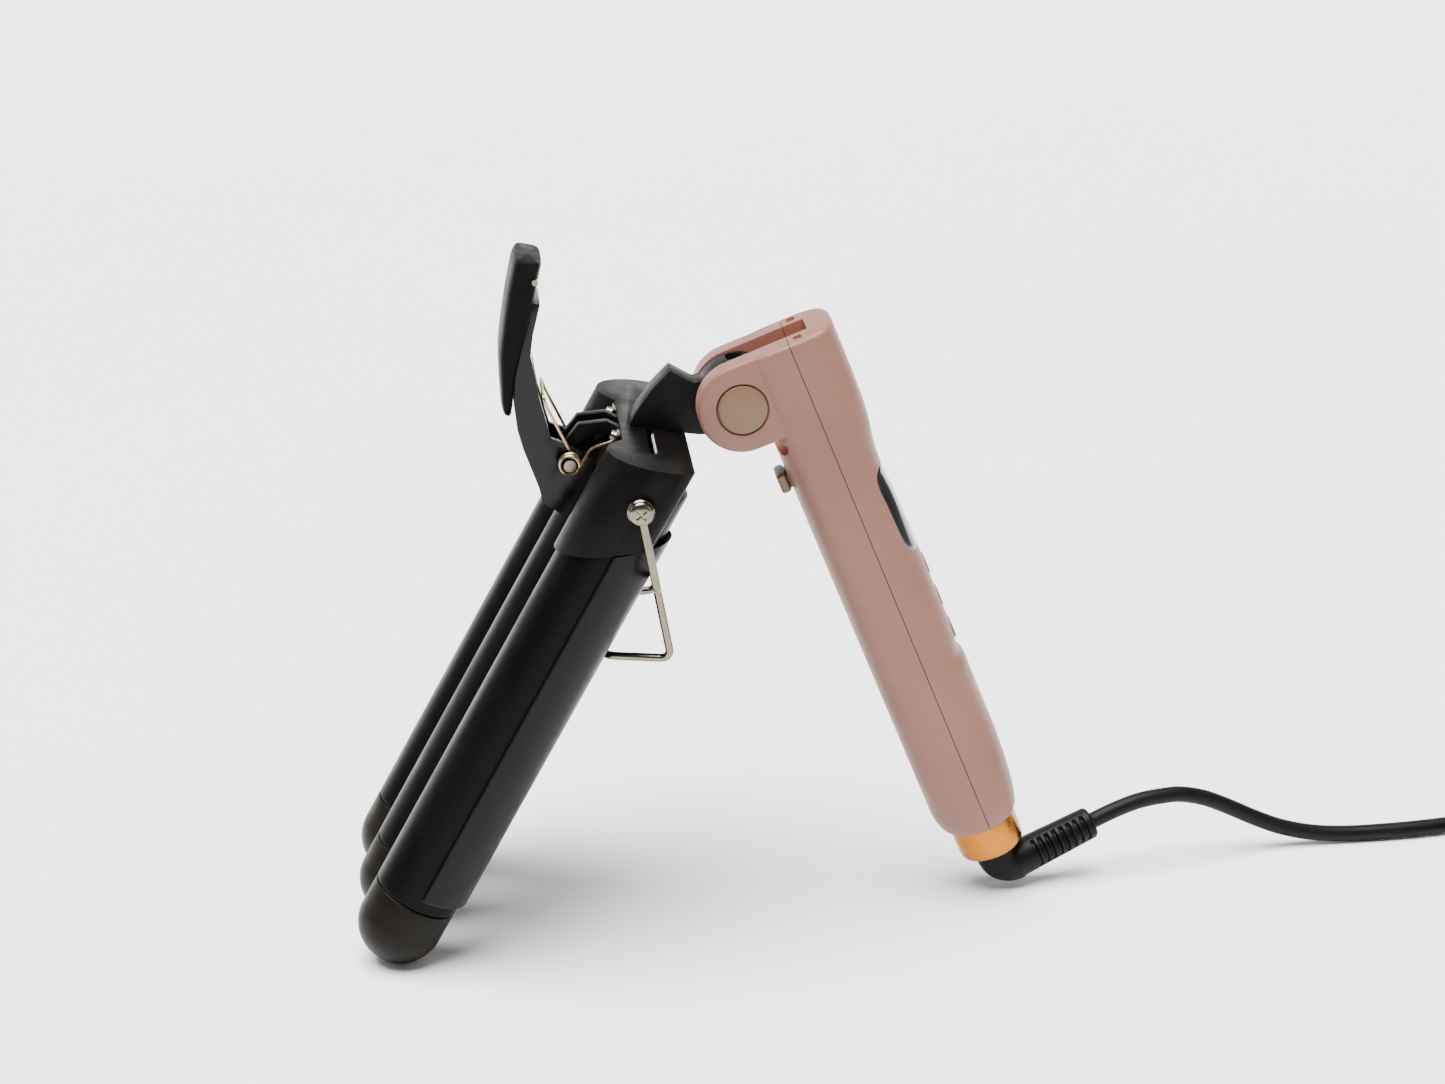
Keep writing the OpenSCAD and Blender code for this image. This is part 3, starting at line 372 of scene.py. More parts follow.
def from_cad(name, node, material, body, bevel=0.4, segments=2, angle=40.0):
    """A copy of a CAD node with its flat faces joined and its edges rounded by bevel, in mm."""
    mesh = frame["nodes"][node].data.copy()
    mesh.name = name
    bm = bmesh.new()
    bm.from_mesh(mesh)
    bmesh.ops.remove_doubles(bm, verts=bm.verts, dist=4e-6)
    bmesh.ops.dissolve_degenerate(bm, edges=bm.edges, dist=1e-6)
    bmesh.ops.dissolve_limit(bm, angle_limit=math.radians(0.8), verts=bm.verts, edges=bm.edges)
    bm.to_mesh(mesh)
    bm.free()
    obj = bpy.data.objects.new(name, mesh)
    bpy.context.scene.collection.objects.link(obj)
    edge = obj.modifiers.new("rounded edges", "BEVEL")
    edge.width = bevel * MM
    edge.segments = segments
    edge.limit_method = "ANGLE"
    edge.angle_limit = math.radians(angle)
    edge.use_clamp_overlap = True
    bpy.context.view_layer.update()
    return shown(name, freed(obj, baked(obj)), material, body, [node], 35)


# ---------------------------------------------------------------- finishes


def linear(colour):
    """sRGB hex such as 'c8a99f' to linear red, green, blue and alpha."""
    c = np.array([int(colour[k : k + 2], 16) for k in (0, 2, 4)]) / 255
    c = np.where(c <= 0.04045, c / 12.92, ((c + 0.055) / 1.055) ** 2.4)
    return (*c, 1.0)


def add(tree, kind, inputs=None, **settings):
    """Adds one shader node with its settings and its inputs, each a value or another node's output."""
    made = tree.nodes.new(kind)
    for name, value in settings.items():
        setattr(made, name, value)
    for name, value in (inputs or {}).items():
        if isinstance(value, bpy.types.NodeSocket):
            tree.links.new(value, made.inputs[name])
        else:
            made.inputs[name].default_value = value
    return made


def started(name, shader):
    """An empty material with its Principled shader and Object coordinates, as (material, tree, shader,
    coordinates)."""
    material = bpy.data.materials.new(name)
    material.use_nodes = True
    tree = material.node_tree
    tree.nodes.clear()
    coat = add(tree, "ShaderNodeBsdfPrincipled", shader)
    out = add(tree, "ShaderNodeOutputMaterial", {"Surface": coat.outputs["BSDF"]})
    out.location, coat.location = (600, 0), (300, 0)
    where = add(tree, "ShaderNodeTexCoord").outputs["Object"]
    return material, tree, coat, where


def grain(tree, where, size_mm, detail=3.0, rough=0.5, stretch=None):
    """Noise whose lumps are size_mm across; stretch scales it along each of the model's axes."""
    if stretch:
        where = add(tree, "ShaderNodeMapping", {"Vector": where, "Scale": stretch}).outputs["Vector"]
    return add(
        tree,
        "ShaderNodeTexNoise",
        {"Vector": where, "Scale": 1 / (size_mm * MM), "Detail": detail, "Roughness": rough},
    ).outputs["Fac"]


def ranged(tree, value, low, high, start=0.3, end=0.7):
    """A noise value spread from start..end to low..high."""
    return add(
        tree,
        "ShaderNodeMapRange",
        {"Value": value, "From Min": start, "From Max": end, "To Min": low, "To Max": high},
    ).outputs["Result"]


def tinted(tree, value, colour_a, colour_b):
    """Colour between two hex values by a 0..1 value."""
    mix = add(tree, "ShaderNodeMix", data_type="RGBA")
    tree.links.new(value, mix.inputs[0])
    mix.inputs[6].default_value = linear(colour_a)
    mix.inputs[7].default_value = linear(colour_b)
    return mix.outputs[2]


def bumped(tree, heights, below=None):
    """Normal from several heights, each (value, height in mm)."""
    normal = below
    for value, height in heights:
        inputs = {"Height": value, "Strength": 1.0, "Distance": height * MM}
        if normal is not None:
            inputs["Normal"] = normal
        normal = add(tree, "ShaderNodeBump", inputs).outputs["Normal"]
    return normal


def set_inputs(tree, shader, inputs):
    """Links or sets a shader's sockets."""
    for name, value in inputs.items():
        if isinstance(value, bpy.types.NodeSocket):
            tree.links.new(value, shader.inputs[name])
        else:
            shader.inputs[name].default_value = value


def moulded(name, colour_a, colour_b, rough, grain_mm, depth_mm, coat=0.0, ior=1.5, cloud_mm=25.0, spec=0.5):
    """Injection-moulded or sprayed plastic: two close colours in slow clouds, roughness that drifts,
    and the fine grain of an eroded mould. rough is (low, high)."""
    material, tree, shader, where = started(
        name, {"IOR": ior, "Coat Weight": coat, "Coat Roughness": 0.12, "Specular IOR Level": spec}
    )
    cloud = grain(tree, where, cloud_mm, 4.0, 0.55)
    patch = grain(tree, where, 6.0, 3.0, 0.6)
    fine = grain(tree, where, grain_mm, 2.0, 0.6)
    set_inputs(
        tree,
        shader,
        {
            "Base Color": tinted(tree, ranged(tree, cloud, 0, 1), colour_a, colour_b),
            "Roughness": ranged(tree, patch, rough[0], rough[1]),
            "Normal": bumped(tree, [(fine, depth_mm), (patch, depth_mm * 1.5)]),
        },
    )
    return material


def metal(name, colour_a, colour_b, rough, streak_mm=0.25, stretch=None, depth_mm=0.004):
    """Bare or plated metal: two close tones, and drawing or polishing streaks in roughness and bump."""
    material, tree, shader, where = started(name, {"Metallic": 1.0})
    cloud = grain(tree, where, 9.0, 4.0, 0.6)
    streak = grain(tree, where, streak_mm, 2.0, 0.5, stretch)
    set_inputs(
        tree,
        shader,
        {
            "Base Color": tinted(tree, ranged(tree, cloud, 0, 1), colour_a, colour_b),
            "Roughness": ranged(tree, streak, rough[0], rough[1]),
            "Normal": bumped(tree, [(streak, depth_mm)]),
        },
    )
    return material


def baked_enamel(name):
    """Ceramic-filled coating sprayed and baked on an aluminium tube: near black with a warm cast, satin,
    with a faint orange peel about 1.2 mm across."""
    material, tree, shader, where = started(
        name, {"IOR": 1.5, "Specular IOR Level": 0.06}
    )
    cloud = grain(tree, where, 30.0, 4.0, 0.6)
    peel = grain(tree, where, 1.2, 2.0, 0.5)
    smear = grain(tree, where, 14.0, 5.0, 0.65, (1.0, 1.0, 0.35))
    set_inputs(
        tree,
        shader,
        {
            "Base Color": tinted(tree, ranged(tree, cloud, 0, 1), "040403", "090706"),
            "Roughness": ranged(tree, smear, 0.26, 0.42),
            "Normal": bumped(tree, [(peel, 0.006)]),
        },
    )
    return material


def soft_touch(name):
    """Rubbery soft-touch lacquer sprayed over ABS: dusty pink with a fine stipple about 0.5 mm across, a
    broad sheen, and slow clouds where it has been handled."""
    material, tree, shader, where = started(
        name,
        {
            "IOR": 1.46,
            "Sheen Weight": 0.12,
            "Sheen Roughness": 0.45,
            "Sheen Tint": linear("f3dcd2"),
            "Specular IOR Level": 0.55,
        },
    )
    cloud = grain(tree, where, 34.0, 4.0, 0.55)
    speck = grain(tree, where, 0.55, 2.0, 0.7)
    hands = grain(tree, where, 11.0, 5.0, 0.62)
    base = tinted(tree, ranged(tree, cloud, 0, 1), "724b3c", "7c5446")
    mix = add(tree, "ShaderNodeMix", data_type="RGBA")
    tree.links.new(ranged(tree, speck, 0, 0.22, 0.55, 0.75), mix.inputs[0])
    tree.links.new(base, mix.inputs[6])
    mix.inputs[7].default_value = linear("583629")
    set_inputs(
        tree,
        shader,
        {
            "Base Color": mix.outputs[2],
            "Roughness": ranged(tree, hands, 0.42, 0.56),
            "Normal": bumped(tree, [(speck, 0.022), (hands, 0.02)]),
        },
    )
    return material


def circuit_board(name):
    """Green solder mask on glass laminate with darker copper tracks about 1.5 mm apart under it."""
    material, tree, shader, where = started(name, {"IOR": 1.55, "Coat Weight": 0.4, "Coat Roughness": 0.2})
    tracks = add(
        tree,
        "ShaderNodeTexBrick",
        {
            "Vector": where,
            "Scale": 1 / (1.5 * MM),
            "Color1": linear("1c5a30"),
            "Color2": linear("216638"),
            "Mortar": linear("123f21"),
            "Mortar Size": 0.08,
        },
    )
    fine = grain(tree, where, 0.4)
    set_inputs(
        tree,
        shader,
        {
            "Base Color": tracks.outputs["Color"],
            "Roughness": ranged(tree, fine, 0.3, 0.45),
            "Normal": bumped(tree, [(tracks.outputs["Fac"], 0.03)]),
        },
    )
    return material


def pressed_ceramic(name):
    """Off-white fired alumina between cast aluminium halves: chalky, finely pitted."""
    material, tree, shader, where = started(name, {"IOR": 1.7})
    pits = add(
        tree, "ShaderNodeTexVoronoi", {"Vector": where, "Scale": 1 / (0.8 * MM)}
    ).outputs["Distance"]
    cloud = grain(tree, where, 12.0)
    set_inputs(
        tree,
        shader,
        {
            "Base Color": tinted(tree, ranged(tree, cloud, 0, 1), "cfcabd", "dcd8cc"),
            "Roughness": ranged(tree, cloud, 0.6, 0.8),
            "Normal": bumped(tree, [(pits, 0.03)]),
        },
    )
    return material


def make_finishes():
    """Every finish of the waver, by a short name."""
    return {
        "grip": soft_touch("soft-touch lacquer on ABS, dusty pink"),
        # fork finish: the grip's own plastic painted redder and lighter, painted reflected light bounced
        # round inside the fork and recesses
        "slot": moulded("red-brown painted bounce light in the fork", "9a5f50", "a86b5b", (0.5, 0.65), 0.6, 0.01),
        "seam": moulded("shadowed seam, brown", "2a1a14", "33211a", (0.6, 0.7), 0.6, 0.01, spec=0.1),
        "beige": moulded("moulded ABS, warm beige", "63492f", "6d5238", (0.38, 0.5), 0.5, 0.008),
        "lens": moulded("tinted acrylic lens", "070608", "0c0a0c", (0.08, 0.14), 2.0, 0.001, 1.0, 1.49),
        "barrel": baked_enamel("ceramic coating baked on aluminium, black"),
        "tip": moulded("moulded PBT, black", "0a0704", "0f0b07", (0.34, 0.48), 0.45, 0.012, spec=0.1),
        "guard": moulded(
            "heat-proof PET, glossy black", "090605", "0d0908", (0.3, 0.42), 0.8, 0.004, spec=0.12,
        ),
        "housing": moulded(
            "glass-filled nylon, black", "050403", "090706", (0.36, 0.52), 0.5, 0.016, spec=0.08,
        ),
        "arm": moulded("moulded PBT, polished black", "040404", "070606", (0.16, 0.26), 1.2, 0.003, spec=0.2),
        "pad": moulded("spark-eroded PBT, black", "060504", "0a0807", (0.4, 0.55), 0.6, 0.02, spec=0.06),
        "neck": moulded(
            "wrinkle enamel on cast zinc", "080706", "100f0d", (0.42, 0.6), 0.55, 0.05, spec=0.12,
        ),
        "steel": metal("nickel-plated steel, bright", "6a6458", "7e776a", (0.14, 0.26), 0.3, (1, 1, 0.1)),
        "spring": metal("spring steel, straw tempered", "9c8468", "b79f80", (0.2, 0.34), 0.2),
        "screw": metal("zinc-plated steel, dark", "6f6c69", "84807b", (0.3, 0.45), 0.3),
        "gold": metal("brass plate, satin gold", "a0611c", "b07028", (0.2, 0.34), 0.18, (0.12, 0.12, 1)),
        "brass": metal("brass strip", "b98f45", "c9a259", (0.25, 0.4), 0.25),
        "board": circuit_board("solder mask on glass laminate"),
        "heater": pressed_ceramic("fired alumina and cast aluminium"),
        "lead": moulded("silicone sleeve, white", "cfccc2", "dbd8cf", (0.5, 0.62), 0.7, 0.006),
        "cord": moulded("vinyl flex, black", "080706", "0d0b0a", (0.42, 0.56), 0.6, 0.012, spec=0.12),
        "relief": moulded(
            "moulded vinyl strain relief, black", "070605", "0c0a09", (0.36, 0.5), 0.5, 0.012, spec=0.1,
        ),
        "floor": moulded("painted floor, pale", "f4f4f3", "f6f6f5", (0.7, 0.8), 3.0, 0.002, 0.0, 1.45, 400.0),
    }


FINISH = {}

# ---------------------------------------------------------------- sizes and colours a user changes


class WaverSizes(bpy.types.PropertyGroup):
    """Sizes of the looks, in millimetres."""

    barrel_length: bpy.props.FloatProperty(
        name="Barrel length", description="Length of an outer barrel's tube above its tip",
        default=143.8, min=100.0, max=200.0,
    )
    tip_straight: bpy.props.FloatProperty(
        name="Tip skirt", description="Straight part of a tip above its dome", default=9.5, min=4.0, max=20.0,
    )
    guard_thickness: bpy.props.FloatProperty(
        name="Guard thickness", description="Wall of a heat guard", default=1.1, min=0.6, max=2.0,
    )
    head_fillet: bpy.props.FloatProperty(
        name="Head fillet", description="Rounding of the handle's flat head", default=1.8, min=0.5, max=4.0,
    )
    grip_roundness: bpy.props.FloatProperty(
        name="Grip roundness", description="Exponent of the grip's oval: 2 is an ellipse, more is squarer",
        default=2.7, min=2.0, max=5.0,
    )
    wire: bpy.props.FloatProperty(
        name="Stand wire", description="Diameter of the stand's wire", default=2.4, min=1.5, max=4.0,
    )
    cord_length: bpy.props.FloatProperty(
        name="Cord length", description="Real length of the cord", default=2.0, min=1.5, max=3.0,
        unit="LENGTH",
    )


class WaverColours(bpy.types.PropertyGroup):
    """Colours of the looks."""

    floor_light: bpy.props.FloatProperty(
        name="Light", description="Strength of the studio lights", default=1.0, min=0.1, max=4.0,
    )
    background: bpy.props.FloatVectorProperty(
        name="Background", description="Colour of the studio's walls", subtype="COLOR",
        default=linear("f4f4f4")[:3], min=0.0, max=1.0,
    )


# ---------------------------------------------------------------- operators


class WAVER_OT_stage(bpy.types.Operator):
    """Floor, camera and soft studio light"""

    bl_idname = "waver.stage"
    bl_label = "Stage"

    def execute(self, context):
        strength = context.scene.waver_colours.floor_light
        # floor: z = 0 over a wide square that curves up at the back as a quarter pipe
        x = np.linspace(-3.0, 3.0, 9)
        y = np.concatenate([np.linspace(-2.5, 2.0, 10), 2.0 + 0.8 * np.sin(np.linspace(0.1, np.pi / 2, 12))])
        z = np.concatenate([np.zeros(10), 0.8 * (1 - np.cos(np.linspace(0.1, np.pi / 2, 12)))])
        y, z = np.append(y, 2.8), np.append(z, 3.0)
        grid = np.stack([np.broadcast_to(x[None], (len(y), 9)), np.broadcast_to(y[:, None], (len(y), 9)),
                         np.broadcast_to(z[:, None], (len(y), 9))], 2)
        mesh = bpy.data.meshes.new("floor")
        i = np.arange(len(y) - 1)[:, None] * 9 + np.arange(8)[None]
        mesh.from_pydata(grid.reshape(-1, 3), [], np.stack([i, i + 1, i + 10, i + 9], 2).reshape(-1, 4))
        mesh.shade_smooth()
        mesh.materials.append(FINISH["floor"])
        floor = bpy.data.objects.new("floor", mesh)
        context.scene.collection.objects.link(floor)
        world = bpy.data.worlds.new("studio")
        world.use_nodes = True
        sky = world.node_tree.nodes["Background"]
        sky.inputs["Color"].default_value = (*context.scene.waver_colours.background, 1.0)
        sky.inputs["Strength"].default_value = 0.27 * strength
        context.scene.world = world
        # overhead light, as wide as a ceiling of soft boxes: it whitens floor and tops and leaves sides calm
        over = bpy.data.lights.new("overhead", "SUN")
        over.energy = 11.5 * strength
        over.angle = math.radians(50)
        lamp = bpy.data.objects.new("overhead", over)
        context.scene.collection.objects.link(lamp)
        lamp.rotation_euler = (math.radians(6), math.radians(-8), 0)
        aim = Vector((-0.01, 0.0, 0.09))
        for name, place, size, power, colour in [
            ("left strip", (-0.85, 0.25, 0.45), 0.35, 0.9, "fffaf2"),
            ("front fill", (1.25, -0.8, 0.65), 0.9, 3.4, "fff6ee"),
        ]:
            light = bpy.data.lights.new(name, "AREA")
            light.shape = "SQUARE"
            light.size = size
            light.energy = power * strength
            light.color = linear(colour)[:3]
            lamp = bpy.data.objects.new(name, light)
            context.scene.collection.objects.link(lamp)
            lamp.location = place
            lamp.rotation_euler = (aim - Vector(place)).to_track_quat("-Z", "Y").to_euler()
        data = bpy.data.cameras.new("camera")
        data.lens, data.sensor_width = 78.33, 36.0
        data.clip_start, data.clip_end = 0.05, 50.0
        camera = bpy.data.objects.new("camera", data)
        context.scene.collection.objects.link(camera)
        yaw, pitch, roll = (math.radians(v) for v in (4.98, 20.09, -0.51))
        ahead = np.array([math.sin(yaw) * math.cos(pitch), math.cos(yaw) * math.cos(pitch), -math.sin(pitch)])
        right = np.array([math.cos(yaw), -math.sin(yaw), 0.0])
        up = np.cross(right, ahead)
        right, up = (math.cos(roll) * right + math.sin(roll) * up,
                     -math.sin(roll) * right + math.cos(roll) * up)
        place = np.array([22.74 + BARRELS[0, 3], -854.60, 428.67]) * MM
        matrix = np.eye(4)
        matrix[:3, 0], matrix[:3, 1], matrix[:3, 2], matrix[:3, 3] = right, up, -ahead, place
        camera.matrix_world = Matrix(matrix.tolist())
        context.scene.camera = camera
        return {"FINISHED"}


class WAVER_OT_cord(bpy.types.Operator):
    """Flex from the elbow to its neat coil, with the tie and the plug"""

    bl_idname = "waver.cord"
    bl_label = "Cord"

    def execute(self, context):
        route = np.array([
            [111, 5.5, 17.6], [117, 6.6, 19.9], [126, 8.5, 22.2], [136, 10.8, 22.6], [146, 13, 20.4],
            [155, 15, 16], [164, 16.6, 11], [173, 17.7, 6.8], [183, 18.4, 4], [194, 18.8, 2.8],
            [206, 19.2, 2.7], [219, 20.2, 2.8], [232, 22.3, 2.9], [244.5, 25.4, 3.1],
        ])
        tail = np.array([
            [252, 16.9, 18.9], [258, 18.6, 19.2], [265, 18.6, 19.8],
            [272, 16.4, 20.7], [278, 12.4, 21.6], [282.4, 7, 22.4], [284.6, 1.6, 22.9], [285, -4.5, 23],
        ])
        # coil: at clockwise turn count q, each whole turn keeps one radius and height, and within the
        # last 80 degrees of a turn both slide to the next column or row along a cosine
        d = CORD_D + 0.1
        columns = np.array([3, 2, 1, 0, 0, 1, 2, 3, 3, 2, 2])
        rows = np.array([0, 0, 0, 0, 1, 1, 1, 1, 2, 2, 2])
        q = np.linspace(0.0, 10.0, 10 * 40 + 1)
        turn = np.minimum(q.astype(int), 9)
        into = np.clip((q - turn) * 360 / 80, 0, 1)
        ease = (1 - np.cos(np.pi * into)) / 2
        before_c = np.concatenate([[4.0], columns])[turn]
        before_r = np.concatenate([[0.0], rows])[turn]
        column = before_c + (columns[turn] - before_c) * ease
        row = before_r + (rows[turn] - before_r) * ease
        radius = COIL_R + (column - 1.5) * d
        height = 0.8 + (row + 0.5) * d
        angle = np.radians(99.0) - 2 * np.pi * q
        coil = np.stack([COIL[0] + radius * np.cos(angle), COIL[1] + radius * np.sin(angle), height], 1)
        path = np.concatenate([smooth_route(np.vstack([route, coil[:3]]), 90)[:-3], coil, tail[1:]])
        path = np.concatenate([path[: len(path) - len(tail) - 2],
                               smooth_route(path[len(path) - len(tail) - 3:], 60)])
        flex = surface("cord_flex", [capped(tube(path, CORD_D / 2, 14))], np.eye(4), FINISH["cord"], "handle",
                       ["cord_run", "cord_coil"])
        tie = self.tie()
        plug, pins = self.plug()
        return {"FINISHED"}

    def tie(self):
        """A flat strap round the coil's section: a rounded rectangle carried round its loop."""
        v = np.linspace(0, 2 * np.pi, 97)
        loop = oval(11.0 - 0.4, 8.45 - 0.4, 8.0, 96)
        across = oval(3.0, 0.4, 4.0, 20)
        out = np.stack([np.cos(v), np.sin(v)], 1)
        out /= np.linalg.norm(out, axis=1, keepdims=True)
        points = np.zeros((97, 21, 3))
        points[:, :, 0] = COIL[0] + across[None, :, 0]
        points[:, :, 1] = COIL[1] - COIL_R + loop[:, :1] + out[:, :1] * across[None, :, 1]
        points[:, :, 2] = 8.45 + loop[:, 1:] + out[:, 1:] * across[None, :, 1]
        return surface("cord_tie_strap", [points], np.eye(4), FINISH["pad"], "handle",
                       ["cord_tie"])

    def plug(self):
        """Two-pin plug: an oval body that narrows to the flex in ribs, and two round-nosed pins."""
        at = placed(PLUG_AT, turned("X", 90.0))
        z = np.concatenate([np.linspace(0, 19.0, 39), [20.0, 20.6, 21.6, 23.2, 26, 30, 34, 36, 37, 37.6, 38]])
        relief = z <= 19.5
        grow = np.clip((z - 19.0) / 4.2, 0, 1)
        ease = np.sqrt(np.clip(1 - (1 - grow) ** 2, 0, 1))
        end = np.clip((38 - z) / 1.6, 0, 1)
        shut = 1.4 * (1 - np.sqrt(np.clip(1 - (1 - end) ** 2, 0, 1)))
        rib = np.where(relief, 0.35 * (np.cos(2 * np.pi * z / 2.6) > 0.2), 0)
        slim = 3.3 + 1.7 * np.clip(z / 19, 0, 1) - rib
        half_width = slim + (17.0 - 5.0) * ease * (z > 19) - shut
        half_depth = slim + (6.8 - 5.0) * ease * (z > 19) - shut
        body = stacked(oval(half_width, half_depth, 2.0 + 1.6 * ease, 56), z)
        plug = surface("mains_plug", [capped(body)], at, FINISH["relief"], "handle",
                       ["plug_body"], 40)
        pin = np.array([[0, 19.0], [0.8, 18.9], [1.4, 18.5], [1.8, 17.8], [1.98, 16.9], [1.98, 10.0],
                        [1.9, 9.9], [1.9, 0.0], [0, 0.0]])
        grids = [revolved(pin, 32) + np.array([side * PLUG_PIN_HALF, 0, 38.0]) for side in (-1, 1)]
        pins = surface("mains_plug_pins", grids, at, FINISH["steel"], "handle", ["plug_pins"])
        return plug, pins


class WAVER_OT_grip(bpy.types.Operator):
    """Handle: two soft-touch halves with the fork, the seats and the windows cut out"""

    bl_idname = "waver.grip"
    bl_label = "Handle halves"

    @staticmethod
    def sides(s):
        """The grip's inner and outer face, as distances from the fold axis at s mm below it."""
        outer = smooth_line(
            [-12.8, -8, 0, 8, 14, 20, 27, 34, 44, 60, 80, 92, 96.5, 99.5, 104, 122, 135, 143, 148, 151, 152],
            [33, 33, 33, 32.9, 32.7, 32.1, 31, 30.6, 31.2, 31.4, 31.4, 31.2, 30.8, 31.9, 32, 32, 31.6, 30.9,
             30.1, 29.2, 28.5], s)
        inner = smooth_line([-12.8, 100, 140, 148, 151, 152], [4.3, 4.3, 4.3, 4.8, 6.0, 6.9], s)
        return inner, outer

    def skin(self, sizes, inset=0.0, top=HEAD_TOP, bottom=GRIP_LEN, fillet=0.0):
        """Superellipse between the two faces at each height; near the flat head it is drawn in by a
        quarter circle."""
        a = np.linspace(0, np.pi / 2, 8)
        s = np.concatenate([top + fillet * (1 - np.cos(a)) if fillet else [top],
                            np.arange(top + fillet + 1.5, 92, 2.0), np.arange(92, 104, 0.5),
                            np.arange(104, bottom - 9, 2.5), np.linspace(bottom - 8, bottom, 17)])
        draw = np.zeros(len(s))
        if fillet:
            draw[: len(a)] = fillet * (1 - np.sin(a))
        inner, outer = self.sides(s)
        inner, outer = inner + inset + draw, outer - inset - draw
        width = GRIP_HALF - inset - draw - 1.6 * np.clip((s - 146) / 6, 0, 1) ** 2
        square = sizes.grip_roundness + 0.8 * np.clip((24 - s) / 14, 0, 1)
        square = square - 0.6 * np.clip((s - 130) / 22, 0, 1)
        rings = oval((outer - inner) / 2, width, square, 128)
        rings[..., 0] += (outer + inner)[:, None] / 2
        return capped(stacked(rings, -s))

    def execute(self, context):
        sizes = context.scene.waver_sizes
        grip = loose("grip", [self.skin(sizes, fillet=sizes.head_fillet)], HANDLE)
        # ears: a half disc with a straight tail, across the fork
        tail = [[6, -EAR_R], [12, -EAR_R], [18, -EAR_R], [18, EAR_R], [12, EAR_R], [6, EAR_R]]
        ear = np.vstack([arc((0, 0), EAR_R, 90, 270, 64), tail])
        grip = combined(grip, loose("ears", [slab(ear, -EAR_FACE, EAR_FACE, 1.1)], HANDLE), "UNION")
        # fork slot: the drum's room, the neck's way up, and the mouth
        cut = loose("drum room", [slab(arc((0, 0), EAR_R + 0.4, 0, 360, 97), -FORK_HALF, FORK_HALF)], HANDLE)
        mouth = np.array([[-16, 0.6], [24.4, 0.6], [25.4, 1.6], [25.4, 16], [-16, 16]])
        cut = combined(cut, loose("mouth", [slab(mouth, -FORK_HALF, FORK_HALF)], HANDLE), "UNION")
        throat = np.array([[-16, -15], [0, -15], [0, 15], [-16, 15]])
        cut = combined(cut, loose("throat", [slab(throat, -FORK_HALF, FORK_HALF)], HANDLE), "UNION")
        grip = combined(grip, cut, "DIFFERENCE")
        # hollow, round the lower screw's boss
        hollow = loose("hollow", [self.skin(sizes, WALL, 21.0, 148.3)], HANDLE)
        post = revolved([[0, 3.0], [4, 3.0], [4, 29.5], [0, 29.5]], 40) + np.array([LOW_SCREW_S, 0, 0])
        hollow = combined(hollow, loose("post", [post], FACE), "DIFFERENCE")
        grip = combined(grip, hollow, "DIFFERENCE")
        for cutter in self.cutters():
            grip = combined(grip, cutter, "DIFFERENCE")
        for name, node, low, high in [("grip_inner_half", "handle_inner_shell", -40, PARTING - SEAM / 2),
                                      ("grip_outer_half", "handle_outer_shell", PARTING + SEAM / 2, 60)]:
            half = bpy.data.objects.new(name, grip.data.copy())
            context.scene.collection.objects.link(half)
            box = np.array([[low, -200], [high, -200], [high, 60], [low, 60]])
            combined(half, loose("keep", [slab(box, -40, 40)], HANDLE), "INTERSECT")
            mesh = freed(half, half.data)
            tidy(mesh, 1e-6)
            # the second finish is painted reflected light inside the fork, screw seats and head recesses
            piece = shown(name, mesh, [FINISH["grip"], FINISH["slot"]], "handle", [node], 28)
            self.paint_slot(piece.data)
        bpy.data.objects.remove(grip)
        # lip inside the seam: the same skin 0.6 further in, kept only near the parting and round the hollow
        lip = loose("seam_lip", [self.skin(sizes, 0.6, HEAD_TOP + 0.6, 147.0)], HANDLE)
        for cutter in (loose("mouth", [slab(mouth, -FORK_HALF - 0.1, FORK_HALF + 0.1)], HANDLE),
                       loose("hollow", [self.skin(sizes, WALL, 21.2, 148.3)], HANDLE)):
            lip = combined(lip, cutter, "DIFFERENCE")
        low, high = PARTING - 0.4, PARTING + 0.4
        box = np.array([[low, -200], [high, -200], [high, 60], [low, 60]])
        lip = combined(lip, loose("keep", [slab(box, -40, 40)], HANDLE), "INTERSECT")
        shown("seam_lip", freed(lip, lip.data), FINISH["seam"], "handle")
        return {"FINISHED"}

    def cutters(self):
        """Everything that is cut into the handle's walls, in the order of cutting."""
        made = []
        for sign in (-1, 1):  # cap seats
            seat = np.array([[0, 10.7], [7.4, 10.7], [7.4, 11.85], [7.75, 12.25], [7.75, 14.5], [0, 14.5]])
            made.append(loose("cap seat", [revolved(seat * [1, sign], 96)], ACROSS))
        made.append(loose("pin bore", [revolved([[0, -12], [3.0, -12], [3.0, 12], [0, 12]], 48)], ACROSS))
        high_s, high_y = HIGH_SCREW
        for s, y in ((high_s, high_y), (high_s, -high_y), (LOW_SCREW_S, 0)):  # counterbored screw holes
            hole = [[0, 0], [2.6, 0], [2.6, 12], [1.5, 12], [1.5, 25], [0, 25]]
            made.append(loose("screw hole", [revolved(hole, 36) + np.array([s, y, 0])], FACE))
        for name, low, high, inner, outer, half in [("bolt channel", 25, 8, FORK_HALF, 8.9, 2.8),
                                                    ("bolt pocket", 45, 20, FORK_HALF, 8.9, 5.3),
                                                    ("knob window", 34.7, 24.8, 2.3, 10.3, 3.3)]:
            box = np.array([[inner, -low], [outer, -low], [outer, -high], [inner, -high]])
            made.append(loose(name, [slab(box, -half, half)], HANDLE))
        bush = [[0, -154], [8, -154], [8, -140], [0, -140]]
        made.append(loose("bush seat", [revolved(bush, 72)], SWIVEL_END))
        lead = revolved([[0, -26], [2.2, -26], [2.2, 2], [0, 2]], 32) - np.array([SWIVEL_T - 15.6, 0, 0])
        made.append(loose("lead hole", [lead], SWIVEL_END))
        lens = rounded_block((28.3, 15.3, 6.0), 0.02, 7.0, 72) + np.array([DISPLAY_S, 0, 30.45])
        made.append(loose("lens seat", [lens], FACE))
        opening = rounded_block((25, 12, 8.0), 0.02, 7.0, 72) + np.array([DISPLAY_S, 0, 25.0])
        made.append(loose("lens opening", [opening], FACE))
